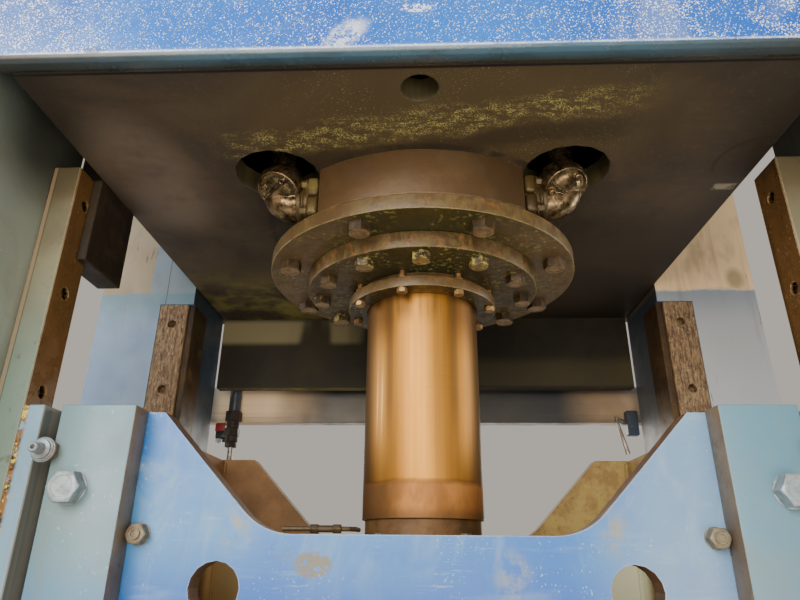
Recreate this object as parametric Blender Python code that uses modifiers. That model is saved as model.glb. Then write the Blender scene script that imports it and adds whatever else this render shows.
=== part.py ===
# Straight-side hydraulic press with a moving slide, seen from below its crown.
# Metres, +Z up. The origin is on the floor under the ram axis, and the front faces -Y.
import math

import bmesh
import bpy
from mathutils import Matrix, Vector

# Gaps, cuts and facets
FIT = 0.0003
RUNNING = 0.0005
OVERRUN = 0.01
SINK = 0.003
MERGE = 0.00001
RING_STEPS = 32
SMALL_STEPS = 16
LEG_STEPS = 12
HOLE_STEPS = 8
BOLT_STEPS = 6
BALL_STEPS = 8
SHARP_ANGLE = math.radians(35)

# Frame
FRAME_WIDTH = 1.94
CROWN_UNDERSIDE = 2.43
CROWN_HEIGHT = 0.76
CROWN_SETBACK = 0.29
FACE_FRONT = 0.62
FACE_BACK = 0.64
FACE_PLATE = 0.04
FACE_LIP = 0.004
FACE_BEVEL = 0.012
CROWN_FLOOR = 0.05
CROWN_WEB = 0.035
CROWN_ROOF = 0.035
BACK_DROP = 0.238
SIGHT_HOLE_RADIUS = 0.033
SIGHT_HOLE_Y = -0.5275
PIPE_HOLE_RADIUS = 0.088
PIPE_HOLE_X = 0.300
PIPE_HOLE_Y = -0.272

# Posts and ways
POST_WALL = 0.03
FRONT_POST_WIDTH = 0.213
REAR_POST_WIDTH = 0.285
REAR_POST_FACE = 0.327
WAY_SETBACK = 0.27
FRONT_WAY_FACE = -0.315
FRONT_WAY_DEPTH = 0.084
REAR_WAY_WIDTH = 0.085
REAR_WAY_DEPTH = 0.116
REAR_WAY_TOP_DROP = 0.05
WAY_BOTTOM = 0.95
WAY_BEVEL = 0.002
WAY_HOLE_RADIUS = 0.013
WAY_HOLE_DEPTH = 0.022
WAY_HOLE_PITCH = 0.197
FRONT_WAY_FIRST_HOLE = 0.070
REAR_WAY_FIRST_HOLE = 0.112
LINER_THICKNESS = 0.018
LINER_SETBACK = 0.008
HANGER_THICKNESS = 0.052
HANGER_HEIGHT = 0.188
HANGER_FRONT = -0.228
HANGER_BACK = -0.112
HANGER_RISE = 0.10
HANGER_NOSE = 0.037
HANGER_FLANGE = 0.02

# Rear rail and what hangs on it
RAIL_FACE = 0.69
RAIL_DEPTH = 0.05
RAIL_TOP_DROP = 0.214
RAIL_HEIGHT = 0.12
RAIL_WALL = 0.006
RAIL_FOOT_WIDTH = 0.12
GAUGE_SETBACK = 0.338
GAUGE_Y = 0.666
GAUGE_TUBE_RADIUS = 0.019
GAUGE_TUBE_RISE = 0.13
GAUGE_TUBE_DROP = 0.33
GAUGE_NUT_RADIUS = 0.025
GAUGE_NUT_HEIGHT = 0.095
GAUGE_ROD_RADIUS = 0.009
GAUGE_HUB_RADIUS = 0.016
GAUGE_ROD_TOP_DROP = 0.135
GAUGE_ARM_DROP = 0.74
GAUGE_ARM_HEIGHT = 0.025
GAUGE_ARM_WIDTH = 0.036
GAUGE_CLAMP_HEIGHT = 0.05
GAUGE_CLAMP_WIDTH = 0.07
SWITCH_SETBACK = 0.29
SWITCH_WIDTH = 0.036
SWITCH_DEPTH = 0.03
SWITCH_HEIGHT = 0.07
SWITCH_BEVEL = 0.003
TRIP_PLATE_ABOVE = 0.035
TRIP_PLATE_BELOW = 0.045
TRIP_ROD_RADIUS = 0.008
TRIP_ROD_SPREAD = 0.03
TRIP_ROD_LEAN = 0.025
TRIP_ROD_STUB = 0.012
TRIP_ROD_LENGTH = 0.115
TRIP_ROD_RISE = 0.012

# Cylinder
RAM_RADIUS = 0.127
BORE_RADIUS = 0.205
BARREL_RADIUS = 0.28
BARREL_ABOVE = 0.10
DRUM_RADIUS = 0.357
DRUM_HEIGHT = 0.100
DRUM_FLAT_X = 0.211
HEAD_THICKNESS = 0.032
GLAND_RADIUS = 0.269
GLAND_THICKNESS = 0.037
WIPER_NECK_RADIUS = 0.150
WIPER_NECK_HEIGHT = 0.018
WIPER_RADIUS = 0.172
WIPER_THICKNESS = 0.023
EDGE_BEVEL = 0.002
BUSHING_WALL = 0.014
PACKING_WALL = 0.016
WIPER_SEAL_WALL = 0.010
WIPER_SEAL_HEIGHT = 0.016
CAP_RADIUS = 0.27
CAP_THICKNESS = 0.07
CAP_PORT_RADIUS = 0.045
HEAD_BOLT_CIRCLE = 0.318
HEAD_BOLT_FLATS = 0.043
HEAD_BOLT_HEIGHT = 0.021
HEAD_BOLT_DEGREES = (22.5, 67.5, 112.5, 135, 157.5, 180, 202.5, 225, 247.5, 292.5, 337.5)
GLAND_BOLT_CIRCLE = 0.238
GLAND_BOLT_FLATS = 0.036
GLAND_BOLT_HEIGHT = 0.018
GLAND_BOLT_COUNT = 12
WIPER_BOLT_CIRCLE = 0.160
WIPER_BOLT_FLATS = 0.021
WIPER_BOLT_HEIGHT = 0.011
WIPER_BOLT_COUNT = 8
WIPER_BOLT_DEGREES = 30
CAP_BOLT_CIRCLE = 0.235
CAP_BOLT_COUNT = 12

# Hydraulic elbows
ELBOW_X = 0.300
ELBOW_Y = -0.238
ELBOW_DROP = 0.055
ELBOW_RADIUS = 0.032
ELBOW_BALL_RADIUS = 0.047
ELBOW_COLLAR_RADIUS = 0.043
ELBOW_COLLAR_HEIGHT = 0.018
SPLIT_FLANGE_SIZE = 0.088
SPLIT_FLANGE_THICKNESS = 0.022
SPLIT_BOLT_SHARE = 0.385
SPLIT_BOLT_FLATS = 0.016
SPLIT_BOLT_HEIGHT = 0.010
PIPE_RADIUS = 0.026
PIPE_WALL = 0.005
PIPE_ABOVE = 0.09
PIPE_FLANGE_RADIUS = 0.048
PIPE_FLANGE_HEIGHT = 0.022

# Piston
PISTON_HEIGHT = 0.13
PISTON_RISE = 0.40
PISTON_SPIGOT_RADIUS = 0.075
PISTON_NUT_RADIUS = 0.115
PISTON_NUT_HEIGHT = 0.045
PISTON_RING_HEIGHT = 0.014
PISTON_RING_DEPTH = 0.012
PISTON_RING_SHARES = (0.25, 0.75)

# Slide
SLIDE_TOP_DROP = 0.497
SLIDE_HEIGHT = 0.623
PLATE_SETBACK = 0.003
SLIDE_FRONT = -0.265
SLIDE_BACK = 0.415
SLIDE_PLATE = 0.05
CUT_DEPTH = 0.205
CUT_SETBACK = 0.031
CUT_SLOPE_WIDTH = 0.195
CUT_FILLET = 0.12
FILLET_STEPS = 8
SLIDE_WEB = 0.03
WEB_INSET = 0.06
DECK_THICKNESS = 0.05
DECK_DROP = 0.030
DECK_WIDTH = 0.50
SLIDE_FLOOR = 0.05
SLIDE_HOLE_RADIUS = 0.0425
SLIDE_HOLE_SETBACK = 0.123
SLIDE_HOLE_BELOW_CUT = 0.085
WEB_HOLE_RADIUS = 0.07
DIE_PLATE = 0.06
PAD_DEPTH = 0.053
PAD_WIDTH = 0.132
PAD_GAP = 0.031
PAD_BEVEL = 0.002
STRIP_WIDTH = 0.0395
STRIP_DEPTH = 0.085
REAR_GIB_WIDTH = 0.0412
REAR_GIB_BACK = 0.438
REAR_GIB_DEPTH = 0.095
PAD_BOLT_INSET = 0.041
PAD_BOLT_BELOW_TOP = 0.140
PAD_BOLT_FLATS = 0.057
PAD_BOLT_HEIGHT = 0.026
PAD_WASHER_RADIUS = 0.036
PAD_WASHER_HEIGHT = 0.005
SIDE_BOLT_BELOW_TOP = 0.210
SIDE_BOLT_FLATS = 0.036
SIDE_BOLT_HEIGHT = 0.024
SCREW_OUT = 0.007
SCREW_BELOW_TOP = 0.080
SCREW_STEM_RADIUS = 0.010
SCREW_NUT_FLATS = 0.034
SCREW_NUT_HEIGHT = 0.014
SCREW_COLLAR_RADIUS = 0.021
SCREW_COLLAR_HEIGHT = 0.012
SCREW_TIP_RADIUS = 0.010
SCREW_TIP_HEIGHT = 0.022
SCREW_BORE_RADIUS = 0.004
RAM_SHOULDER_DROP = 0.672
SPIGOT_RADIUS = 0.121
RAM_FOOT_HEIGHT = 0.010
CLAMP_RADIUS = 0.185
CLAMP_HEIGHT = 0.018
CLAMP_BOLT_CIRCLE = 0.160
CLAMP_BOLT_FLATS = 0.019
CLAMP_BOLT_HEIGHT = 0.007
CLAMP_BOLT_DEGREES = (30, 90, 150)
CLAMP_SPLIT = 0.004
GREASE_TUBE_RADIUS = 0.004
GREASE_SETBACK = 0.018
GREASE_INSET = 0.031
GREASE_TUBE_LENGTH = 0.048
GREASE_STUB = 0.013
GREASE_DIP = 0.012
GREASE_REACH = 0.05
FITTING_LENGTH = 0.053
FITTING_FLATS = 0.015

# Bed and bolster
BED_HEIGHT = 0.66
BED_WALL = 0.05
BED_TOP = 0.09
BED_WINDOW_WIDTH = 0.9
BED_WINDOW_HEIGHT = 0.30
BED_WINDOW_BASE = 0.18
FOOT_HEIGHT = 0.05
FOOT_OUT = 0.04
FOOT_DEPTH = 1.52
FOOT_FRONT_REACH = 0.16
FOOT_BACK_REACH = 0.14
FOOT_WIDTH = 0.30
ANCHOR_RADIUS = 0.018
ANCHOR_INSET = 0.05
BOLSTER_HEIGHT = 0.14
BOLSTER_SETBACK = 0.04
BOLSTER_DEPTH = 1.00
BOLSTER_BEVEL = 0.004
SLOT_PITCH = 0.30
SLOT_COUNT = 3
SLOT_WIDTH = 0.024
SLOT_NECK = 0.022
SLOT_FOOT_WIDTH = 0.042
SLOT_FOOT_HEIGHT = 0.018

# Places worked out from the sizes
HALF_FRAME = FRAME_WIDTH / 2
BED_FRONT = FOOT_FRONT_REACH - FOOT_DEPTH / 2
BED_BACK = FOOT_DEPTH / 2 - FOOT_BACK_REACH
HALF_CROWN = HALF_FRAME - CROWN_SETBACK
WAY_HALF_SPAN = HALF_FRAME - WAY_SETBACK
FACE_INNER = -FACE_FRONT + FACE_PLATE
BACK_INNER = FACE_BACK - FACE_PLATE
CROWN_TOP = CROWN_UNDERSIDE + CROWN_HEIGHT
FRONT_POST_INNER = HALF_FRAME - FRONT_POST_WIDTH
REAR_POST_INNER = HALF_FRAME - REAR_POST_WIDTH
FRONT_WAY_BACK = FRONT_WAY_FACE + FRONT_WAY_DEPTH
REAR_WAY_BACK = REAR_POST_FACE + REAR_WAY_DEPTH
REAR_WAY_TOP = CROWN_UNDERSIDE - REAR_WAY_TOP_DROP
DRUM_BOTTOM = CROWN_UNDERSIDE - DRUM_HEIGHT
HEAD_BOTTOM = DRUM_BOTTOM - HEAD_THICKNESS
GLAND_BOTTOM = HEAD_BOTTOM - GLAND_THICKNESS
NECK_BOTTOM = GLAND_BOTTOM - WIPER_NECK_HEIGHT
WIPER_BOTTOM = NECK_BOTTOM - WIPER_THICKNESS
BARREL_TOP = CROWN_TOP + BARREL_ABOVE
SLIDE_TOP = CROWN_UNDERSIDE - SLIDE_TOP_DROP
SLIDE_BOTTOM = SLIDE_TOP - SLIDE_HEIGHT
PLATE_TOP = SLIDE_TOP - PLATE_SETBACK
CUT_FLOOR = PLATE_TOP - CUT_DEPTH
DECK_TOP = CUT_FLOOR - DECK_DROP
RAM_SHOULDER = CROWN_UNDERSIDE - RAM_SHOULDER_DROP
RAM_BOTTOM = DECK_TOP + FIT
PISTON_BOTTOM = CROWN_UNDERSIDE + PISTON_RISE
PISTON_TOP = PISTON_BOTTOM + PISTON_HEIGHT
PAD_FRONT = SLIDE_FRONT - PAD_DEPTH
STRIP_OUTER = WAY_HALF_SPAN - RUNNING
STRIP_INNER = STRIP_OUTER - STRIP_WIDTH
PAD_OUTER = STRIP_INNER - PAD_GAP
PAD_INNER = PAD_OUTER - PAD_WIDTH
PAD_BOLT_X = PAD_OUTER - PAD_BOLT_INSET
SCREW_X = PAD_OUTER + SCREW_OUT
CUT_TOP_HALF = PAD_INNER - CUT_SETBACK
CUT_FLOOR_HALF = CUT_TOP_HALF - CUT_SLOPE_WIDTH
SLIDE_HOLE_X = CUT_TOP_HALF - SLIDE_HOLE_SETBACK
GREASE_LEFT = GREASE_INSET - CUT_FLOOR_HALF
FITTING_LEFT = GREASE_LEFT + GREASE_TUBE_LENGTH
FITTING_RIGHT = FITTING_LEFT + FITTING_LENGTH
GREASE_RIGHT = FITTING_RIGHT + GREASE_STUB
LINER_FACE = WAY_HALF_SPAN - LINER_THICKNESS - FIT
REAR_GIB_OUTER = LINER_FACE - RUNNING
REAR_GIB_INNER = REAR_GIB_OUTER - REAR_GIB_WIDTH
BOLSTER_HALF = WAY_HALF_SPAN - BOLSTER_SETBACK
GAUGE_X = GAUGE_SETBACK - HALF_FRAME
SWITCH_X = HALF_FRAME - SWITCH_SETBACK
BOLSTER_TOP = BED_HEIGHT + FIT + BOLSTER_HEIGHT
RAIL_TOP = CROWN_UNDERSIDE - RAIL_TOP_DROP
RAIL_BOTTOM = RAIL_TOP - RAIL_HEIGHT
ELBOW_Z = CROWN_UNDERSIDE - ELBOW_DROP

SIDES = (("left", -1), ("right", 1))

SLIDE_BODY = ("ram", "piston", "slide_frame", "die_plate", "gib_", "grease_", "gauge_rod")

COLOURS = {
    "frame_paint": ((0.16, 0.36, 0.55, 1), 0.45, 0.0),
    "post_paint": ((0.23, 0.33, 0.40, 1), 0.55, 0.0),
    "rail_paint": ((0.42, 0.46, 0.60, 1), 0.55, 0.0),
    "slide_paint": ((0.25, 0.48, 0.70, 1), 0.45, 0.0),
    "oily_iron": ((0.10, 0.075, 0.05, 1), 0.40, 0.6),
    "rusty_iron": ((0.30, 0.18, 0.09, 1), 0.75, 0.4),
    "dark_bronze": ((0.20, 0.14, 0.08, 1), 0.30, 0.9),
    "bronze": ((0.55, 0.35, 0.12, 1), 0.35, 1.0),
    "polished_steel": ((0.66, 0.58, 0.46, 1), 0.18, 1.0),
    "machined_steel": ((0.45, 0.44, 0.42, 1), 0.35, 1.0),
    "seal_rubber": ((0.02, 0.02, 0.02, 1), 0.70, 0.0),
    "switch_plastic": ((0.45, 0.05, 0.04, 1), 0.50, 0.0),
}


def clear_scene():
    for item in list(bpy.data.objects):
        bpy.data.objects.remove(item, do_unlink=True)
    for name in ("hydraulic_press", "cutters"):
        group = bpy.data.collections.get(name)
        if group is not None:
            bpy.data.collections.remove(group)
        group = bpy.data.collections.new(name)
        bpy.context.scene.collection.children.link(group)


def finish_for(node, finish):
    colour, roughness, metallic = COLOURS[finish]
    material = bpy.data.materials.new(node + "_finish")
    material.use_nodes = True
    shader = material.node_tree.nodes["Principled BSDF"]
    shader.inputs["Base Color"].default_value = colour
    shader.inputs["Roughness"].default_value = roughness
    shader.inputs["Metallic"].default_value = metallic
    material.diffuse_color = colour
    return material


def add_part(name, mesh, finish, smooth=False):
    item = bpy.data.objects.new(name, mesh)
    bpy.data.collections["hydraulic_press"].objects.link(item)
    mesh.materials.clear()
    mesh.materials.append(finish_for(name, finish))
    if smooth:
        mesh.shade_smooth()
        mesh.set_sharp_from_angle(angle=SHARP_ANGLE)
    return item


def add_tool(name, mesh):
    item = bpy.data.objects.new(name, mesh)
    bpy.data.collections["cutters"].objects.link(item)
    item.hide_render = True
    item.display_type = "WIRE"
    return item


def mesh_from(name, build):
    shape = bmesh.new()
    build(shape)
    mesh = bpy.data.meshes.new(name)
    shape.to_mesh(mesh)
    shape.free()
    return mesh


def box_into(shape, low, high):
    size = [b - a for a, b in zip(low, high)]
    centre = [(a + b) / 2 for a, b in zip(low, high)]
    place = Matrix.Translation(centre) @ Matrix.Diagonal((*size, 1))
    bmesh.ops.create_cube(shape, size=1, matrix=place)


def round_into(shape, radius, start, end, steps):
    direction = Vector(end) - Vector(start)
    turn = direction.to_track_quat("Z", "Y").to_matrix().to_4x4()
    place = Matrix.Translation((Vector(start) + Vector(end)) / 2) @ turn
    bmesh.ops.create_cone(
        shape, cap_ends=True, segments=steps, radius1=radius, radius2=radius,
        depth=direction.length, matrix=place)


def hex_into(shape, flats, start, end):
    round_into(shape, flats / math.sqrt(3), start, end, BOLT_STEPS)


def boxes_mesh(name, boxes):
    def build(shape):
        for low, high in boxes:
            box_into(shape, low, high)
    return mesh_from(name, build)


def rounds_mesh(name, rounds):
    def build(shape):
        for radius, start, end, steps in rounds:
            round_into(shape, radius, start, end, steps)
    return mesh_from(name, build)


def combine(item, tool, operation):
    step = item.modifiers.new(operation.lower(), "BOOLEAN")
    step.operation = operation
    step.solver = "EXACT"
    step.object = tool


def cut(item, mesh):
    combine(item, add_tool(item.name + "_cut", mesh), "DIFFERENCE")


def join(item, mesh):
    combine(item, add_tool(item.name + "_join", mesh), "UNION")


def bevel(item, width, segments=1):
    step = item.modifiers.new("bevel", "BEVEL")
    step.width = width
    step.segments = segments
    step.limit_method = "ANGLE"
    step.angle_limit = SHARP_ANGLE


def box_part(name, low, high, finish, edge=0):
    item = add_part(name, boxes_mesh(name, [(low, high)]), finish)
    if edge:
        bevel(item, edge)
    return item


def turned_mesh(name, profile):
    def build(shape):
        points = [shape.verts.new((radius, 0, height)) for radius, height in profile]
        for first, second in zip(points, points[1:]):
            shape.edges.new((first, second))
        if profile[0][0] > 0:
            shape.edges.new((points[-1], points[0]))
    return mesh_from(name, build)


def turned_part(name, profile, finish, steps=RING_STEPS):
    item = add_part(name, turned_mesh(name, profile), finish)
    step = item.modifiers.new("turn", "SCREW")
    step.axis = "Z"
    step.steps = steps
    step.render_steps = steps
    step.use_merge_vertices = True
    step.merge_threshold = MERGE
    step.use_smooth_shade = True
    return item


def ring_profile(inner, outer, bottom, top, edge=0):
    if edge == 0:
        return [(inner, top), (outer, top), (outer, bottom), (inner, bottom)]
    return [(inner, top), (outer - edge, top), (outer, top - edge), (outer, bottom + edge),
            (outer - edge, bottom), (inner, bottom)]


def outline_plate(name, points, front, back):
    curve = bpy.data.curves.new(name, "CURVE")
    curve.dimensions = "2D"
    curve.fill_mode = "BOTH"
    curve.extrude = (back - front) / 2
    spline = curve.splines.new("POLY")
    spline.points.add(len(points) - 1)
    for point, (x, z) in zip(spline.points, points):
        point.co = (x, z, 0, 1)
    spline.use_cyclic_u = True
    upright = Matrix.Rotation(math.pi / 2, 4, "X")
    return mesh_from_curve(name, curve, Matrix.Translation((0, (front + back) / 2, 0)) @ upright)


def tube_part(name, path, radius, finish, resolution=2):
    curve = bpy.data.curves.new(name, "CURVE")
    curve.dimensions = "3D"
    curve.bevel_depth = radius
    curve.bevel_resolution = resolution
    curve.use_fill_caps = True
    spline = curve.splines.new("POLY")
    spline.points.add(len(path) - 1)
    for point, place in zip(spline.points, path):
        point.co = (*place, 1)
    return add_part(name, mesh_from_curve(name, curve, Matrix.Identity(4)), finish, True)


def mesh_from_curve(name, curve, place):
    holder = bpy.data.objects.new(name + "_curve", curve)
    bpy.context.scene.collection.objects.link(holder)
    view = bpy.context.evaluated_depsgraph_get()
    mesh = bpy.data.meshes.new_from_object(holder.evaluated_get(view))
    shape = bmesh.new()
    shape.from_mesh(mesh)
    shape.transform(place)
    bmesh.ops.remove_doubles(shape, verts=shape.verts, dist=MERGE)
    bmesh.ops.recalc_face_normals(shape, faces=shape.faces)
    shape.to_mesh(mesh)
    shape.free()
    bpy.data.objects.remove(holder, do_unlink=True)
    bpy.data.curves.remove(curve)
    return mesh


def span(side, near, far):
    return (near, far) if side > 0 else (-far, -near)


def circle_bolts(name, circle, flats, height, seat, degrees, down=True):
    def build(shape):
        for angle in degrees:
            turn = math.radians(angle)
            x = circle * math.sin(turn)
            y = -circle * math.cos(turn)
            inside = seat + SINK if down else seat - SINK
            outside = seat - height if down else seat + height
            hex_into(shape, flats, (x, y, inside), (x, y, outside))
    return mesh_from(name, build)


def clear_radius(radius, steps):
    return (radius + FIT) / math.cos(math.pi / steps)


def even_degrees(count, first=0):
    return [first + index * 360 / count for index in range(count)]


def t_slots(name, front, back, surface, up):
    def build(shape):
        first = -SLOT_PITCH * (SLOT_COUNT - 1) / 2
        for index in range(SLOT_COUNT):
            x = first + index * SLOT_PITCH
            neck = surface - up * SLOT_NECK
            foot = neck - up * SLOT_FOOT_HEIGHT
            outside = surface + up * OVERRUN
            low, high = sorted((outside, foot))
            box_into(shape, (x - SLOT_WIDTH / 2, front, low), (x + SLOT_WIDTH / 2, back, high))
    return mesh_from(name, build)


def t_feet(name, front, back, surface, up):
    def build(shape):
        first = -SLOT_PITCH * (SLOT_COUNT - 1) / 2
        for index in range(SLOT_COUNT):
            x = first + index * SLOT_PITCH
            neck = surface - up * SLOT_NECK
            foot = neck - up * SLOT_FOOT_HEIGHT
            low, high = sorted((neck, foot))
            box_into(shape, (x - SLOT_FOOT_WIDTH / 2, front, low),
                     (x + SLOT_FOOT_WIDTH / 2, back, high))
    return mesh_from(name, build)


def make_bed():
    low = (-HALF_FRAME, BED_FRONT, 0)
    high = (HALF_FRAME, BED_BACK, BED_HEIGHT)
    item = box_part("bed", low, high, "frame_paint")
    feet = []
    for _, side in SIDES:
        x0, x1 = span(side, HALF_FRAME - FOOT_WIDTH, HALF_FRAME + FOOT_OUT)
        feet.append(((x0, -FOOT_DEPTH / 2, 0), (x1, FOOT_DEPTH / 2, FOOT_HEIGHT)))
    join(item, boxes_mesh("feet", feet))
    bays = []
    edges = (-HALF_FRAME + BED_WALL, -BED_WINDOW_WIDTH / 2 - BED_WALL, BED_WINDOW_WIDTH / 2 + BED_WALL,
             HALF_FRAME - BED_WALL)
    front = BED_FRONT + BED_WALL
    back = BED_BACK - BED_WALL
    middle = (edges[1] + BED_WALL, edges[2] - BED_WALL)
    for x0, x1 in ((edges[0], edges[1]), middle, (edges[2], edges[3])):
        bays.append(((x0, front, -OVERRUN), (x1, back, BED_HEIGHT - BED_TOP)))
    cut(item, boxes_mesh("bed_bays", bays))
    window = [((-BED_WINDOW_WIDTH / 2, BED_FRONT - OVERRUN, BED_WINDOW_BASE),
               (BED_WINDOW_WIDTH / 2, BED_BACK + OVERRUN, BED_WINDOW_BASE + BED_WINDOW_HEIGHT))]
    cut(item, boxes_mesh("bed_window", window))
    anchors = []
    for _, side in SIDES:
        for end in (-1, 1):
            x = side * (HALF_FRAME - FOOT_WIDTH / 2)
            y = end * (FOOT_DEPTH / 2 - ANCHOR_INSET)
            high = FOOT_HEIGHT + OVERRUN
            anchors.append((ANCHOR_RADIUS, (x, y, -OVERRUN), (x, y, high), SMALL_STEPS))
    cut(item, rounds_mesh("anchor_holes", anchors))


def make_bolster():
    low = (-BOLSTER_HALF, -BOLSTER_DEPTH / 2, BED_HEIGHT + FIT)
    high = (BOLSTER_HALF, BOLSTER_DEPTH / 2, BOLSTER_TOP)
    item = box_part("bolster_plate", low, high, "oily_iron", BOLSTER_BEVEL)
    ends = (low[1] - OVERRUN, high[1] + OVERRUN)
    cut(item, t_slots("bolster_slots", *ends, BOLSTER_TOP, 1))
    cut(item, t_feet("bolster_slot_feet", *ends, BOLSTER_TOP, 1))


def make_post(name, side, inner, front, back):
    x0, x1 = span(side, inner, HALF_FRAME)
    bottom = BED_HEIGHT + FIT
    top = CROWN_TOP - CROWN_ROOF - FIT
    item = box_part(name, (x0, front, bottom), (x1, back, top), "post_paint")
    hollow = ((x0 + POST_WALL, front + POST_WALL, bottom - OVERRUN),
              (x1 - POST_WALL, back - POST_WALL, top + OVERRUN))
    return item, hollow


def make_front_posts():
    for word, side in SIDES:
        item, hollow = make_post("post_front_" + word, side, FRONT_POST_INNER,
                                 FACE_INNER + FIT, FRONT_WAY_BACK)
        cut(item, boxes_mesh(item.name + "_hollow", [hollow]))


def make_rear_posts():
    for word, side in SIDES:
        item, hollow = make_post("post_rear_" + word, side, REAR_POST_INNER,
                                 REAR_POST_FACE, BACK_INNER - FIT)
        outer = WAY_HALF_SPAN + REAR_WAY_WIDTH
        x0, x1 = span(side, outer + POST_WALL, HALF_FRAME - POST_WALL)
        hollow = ((x0, hollow[0][1], hollow[0][2]), (x1, hollow[1][1], hollow[1][2]))
        cut(item, boxes_mesh(item.name + "_hollow", [hollow]))
        n0, n1 = span(side, REAR_POST_INNER - OVERRUN, outer + FIT)
        notch = ((n0, REAR_POST_FACE - OVERRUN, WAY_BOTTOM - FIT),
                 (n1, REAR_WAY_BACK + FIT, REAR_WAY_TOP + FIT))
        cut(item, boxes_mesh(item.name + "_notch", [notch]))


def make_crown():
    outer_low = (-HALF_FRAME, -FACE_FRONT, CROWN_UNDERSIDE - FACE_LIP)
    outer_high = (HALF_FRAME, FACE_INNER, CROWN_TOP)
    item = box_part("crown", outer_low, outer_high, "frame_paint", FACE_BEVEL)
    item.modifiers["bevel"].segments = 2
    middle = [((-HALF_CROWN, FACE_INNER - SINK, CROWN_UNDERSIDE),
               (HALF_CROWN, BACK_INNER + SINK, CROWN_UNDERSIDE + CROWN_FLOOR))]
    join(item, boxes_mesh("crown_floor", middle))
    back = [((-HALF_FRAME, BACK_INNER, CROWN_UNDERSIDE), (HALF_FRAME, FACE_BACK, CROWN_TOP))]
    join(item, boxes_mesh("crown_back", back))
    apron = [((-HALF_CROWN + FIT, BACK_INNER, CROWN_UNDERSIDE - BACK_DROP),
              (HALF_CROWN - FIT, FACE_BACK, CROWN_UNDERSIDE + CROWN_FLOOR / 2))]
    join(item, boxes_mesh("crown_apron", apron))
    roof = [((-HALF_FRAME, FACE_INNER - SINK, CROWN_TOP - CROWN_ROOF),
             (HALF_FRAME, BACK_INNER + SINK, CROWN_TOP))]
    join(item, boxes_mesh("crown_roof", roof))
    for _, side in SIDES:
        x0, x1 = span(side, HALF_CROWN - CROWN_WEB, HALF_CROWN)
        web = [((x0, FACE_INNER - SINK, CROWN_UNDERSIDE + SINK),
                (x1, BACK_INNER + SINK, CROWN_TOP - SINK))]
        join(item, boxes_mesh("crown_web", web))
    low = CROWN_UNDERSIDE - OVERRUN
    high = CROWN_TOP + OVERRUN
    bore = [(clear_radius(BARREL_RADIUS, RING_STEPS), (0, 0, low), (0, 0, high), RING_STEPS)]
    cut(item, rounds_mesh("crown_bore", bore))
    holes = [(SIGHT_HOLE_RADIUS, (0, SIGHT_HOLE_Y, low),
              (0, SIGHT_HOLE_Y, CROWN_UNDERSIDE + CROWN_FLOOR + OVERRUN), SMALL_STEPS)]
    cut(item, rounds_mesh("sight_hole", holes))
    floor_high = CROWN_UNDERSIDE + CROWN_FLOOR + OVERRUN
    for _, side in SIDES:
        x = side * PIPE_HOLE_X
        hole = [(PIPE_HOLE_RADIUS, (x, PIPE_HOLE_Y, low), (x, PIPE_HOLE_Y, floor_high), SMALL_STEPS)]
        cut(item, rounds_mesh("pipe_hole", hole))
        x = side * ELBOW_X
        top = [(clear_radius(PIPE_RADIUS, SMALL_STEPS), (x, ELBOW_Y, CROWN_TOP - CROWN_ROOF - OVERRUN),
                (x, ELBOW_Y, high), SMALL_STEPS)]
        cut(item, rounds_mesh("pipe_way", top))


def hole_row(first):
    heights = []
    height = first
    while height > WAY_BOTTOM + WAY_HOLE_RADIUS * 2:
        heights.append(height)
        height -= WAY_HOLE_PITCH
    return heights


def make_front_ways():
    for word, side in SIDES:
        x0, x1 = span(side, WAY_HALF_SPAN, FRONT_POST_INNER - FIT)
        low = (x0, FRONT_WAY_FACE, WAY_BOTTOM)
        high = (x1, FRONT_WAY_BACK, CROWN_UNDERSIDE - FIT)
        item = box_part("way_front_" + word, low, high, "oily_iron", WAY_BEVEL)
        y = (FRONT_WAY_FACE + FRONT_WAY_BACK) / 2
        inner = side * WAY_HALF_SPAN
        rounds = []
        for z in hole_row(CROWN_UNDERSIDE - FRONT_WAY_FIRST_HOLE):
            rounds.append((WAY_HOLE_RADIUS, (inner - side * OVERRUN, y, z),
                           (inner + side * WAY_HOLE_DEPTH, y, z), HOLE_STEPS))
        cut(item, rounds_mesh("way_holes", rounds))


def make_rear_ways():
    for word, side in SIDES:
        x0, x1 = span(side, WAY_HALF_SPAN, WAY_HALF_SPAN + REAR_WAY_WIDTH)
        low = (x0, REAR_POST_FACE, WAY_BOTTOM)
        high = (x1, REAR_WAY_BACK, REAR_WAY_TOP)
        item = box_part("way_rear_" + word, low, high, "rusty_iron", WAY_BEVEL)
        x = side * (WAY_HALF_SPAN + REAR_WAY_WIDTH / 2)
        rounds = []
        for z in hole_row(CROWN_UNDERSIDE - REAR_WAY_FIRST_HOLE):
            rounds.append((WAY_HOLE_RADIUS, (x, REAR_POST_FACE - OVERRUN, z),
                           (x, REAR_POST_FACE + WAY_HOLE_DEPTH, z), HOLE_STEPS))
        cut(item, rounds_mesh("way_holes", rounds))
        l0, l1 = span(side, LINER_FACE, WAY_HALF_SPAN - FIT)
        box_part("liner_rear_" + word, (l0, REAR_POST_FACE + LINER_SETBACK, WAY_BOTTOM),
                 (l1, REAR_WAY_BACK, REAR_WAY_TOP), "oily_iron", WAY_BEVEL)


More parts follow.
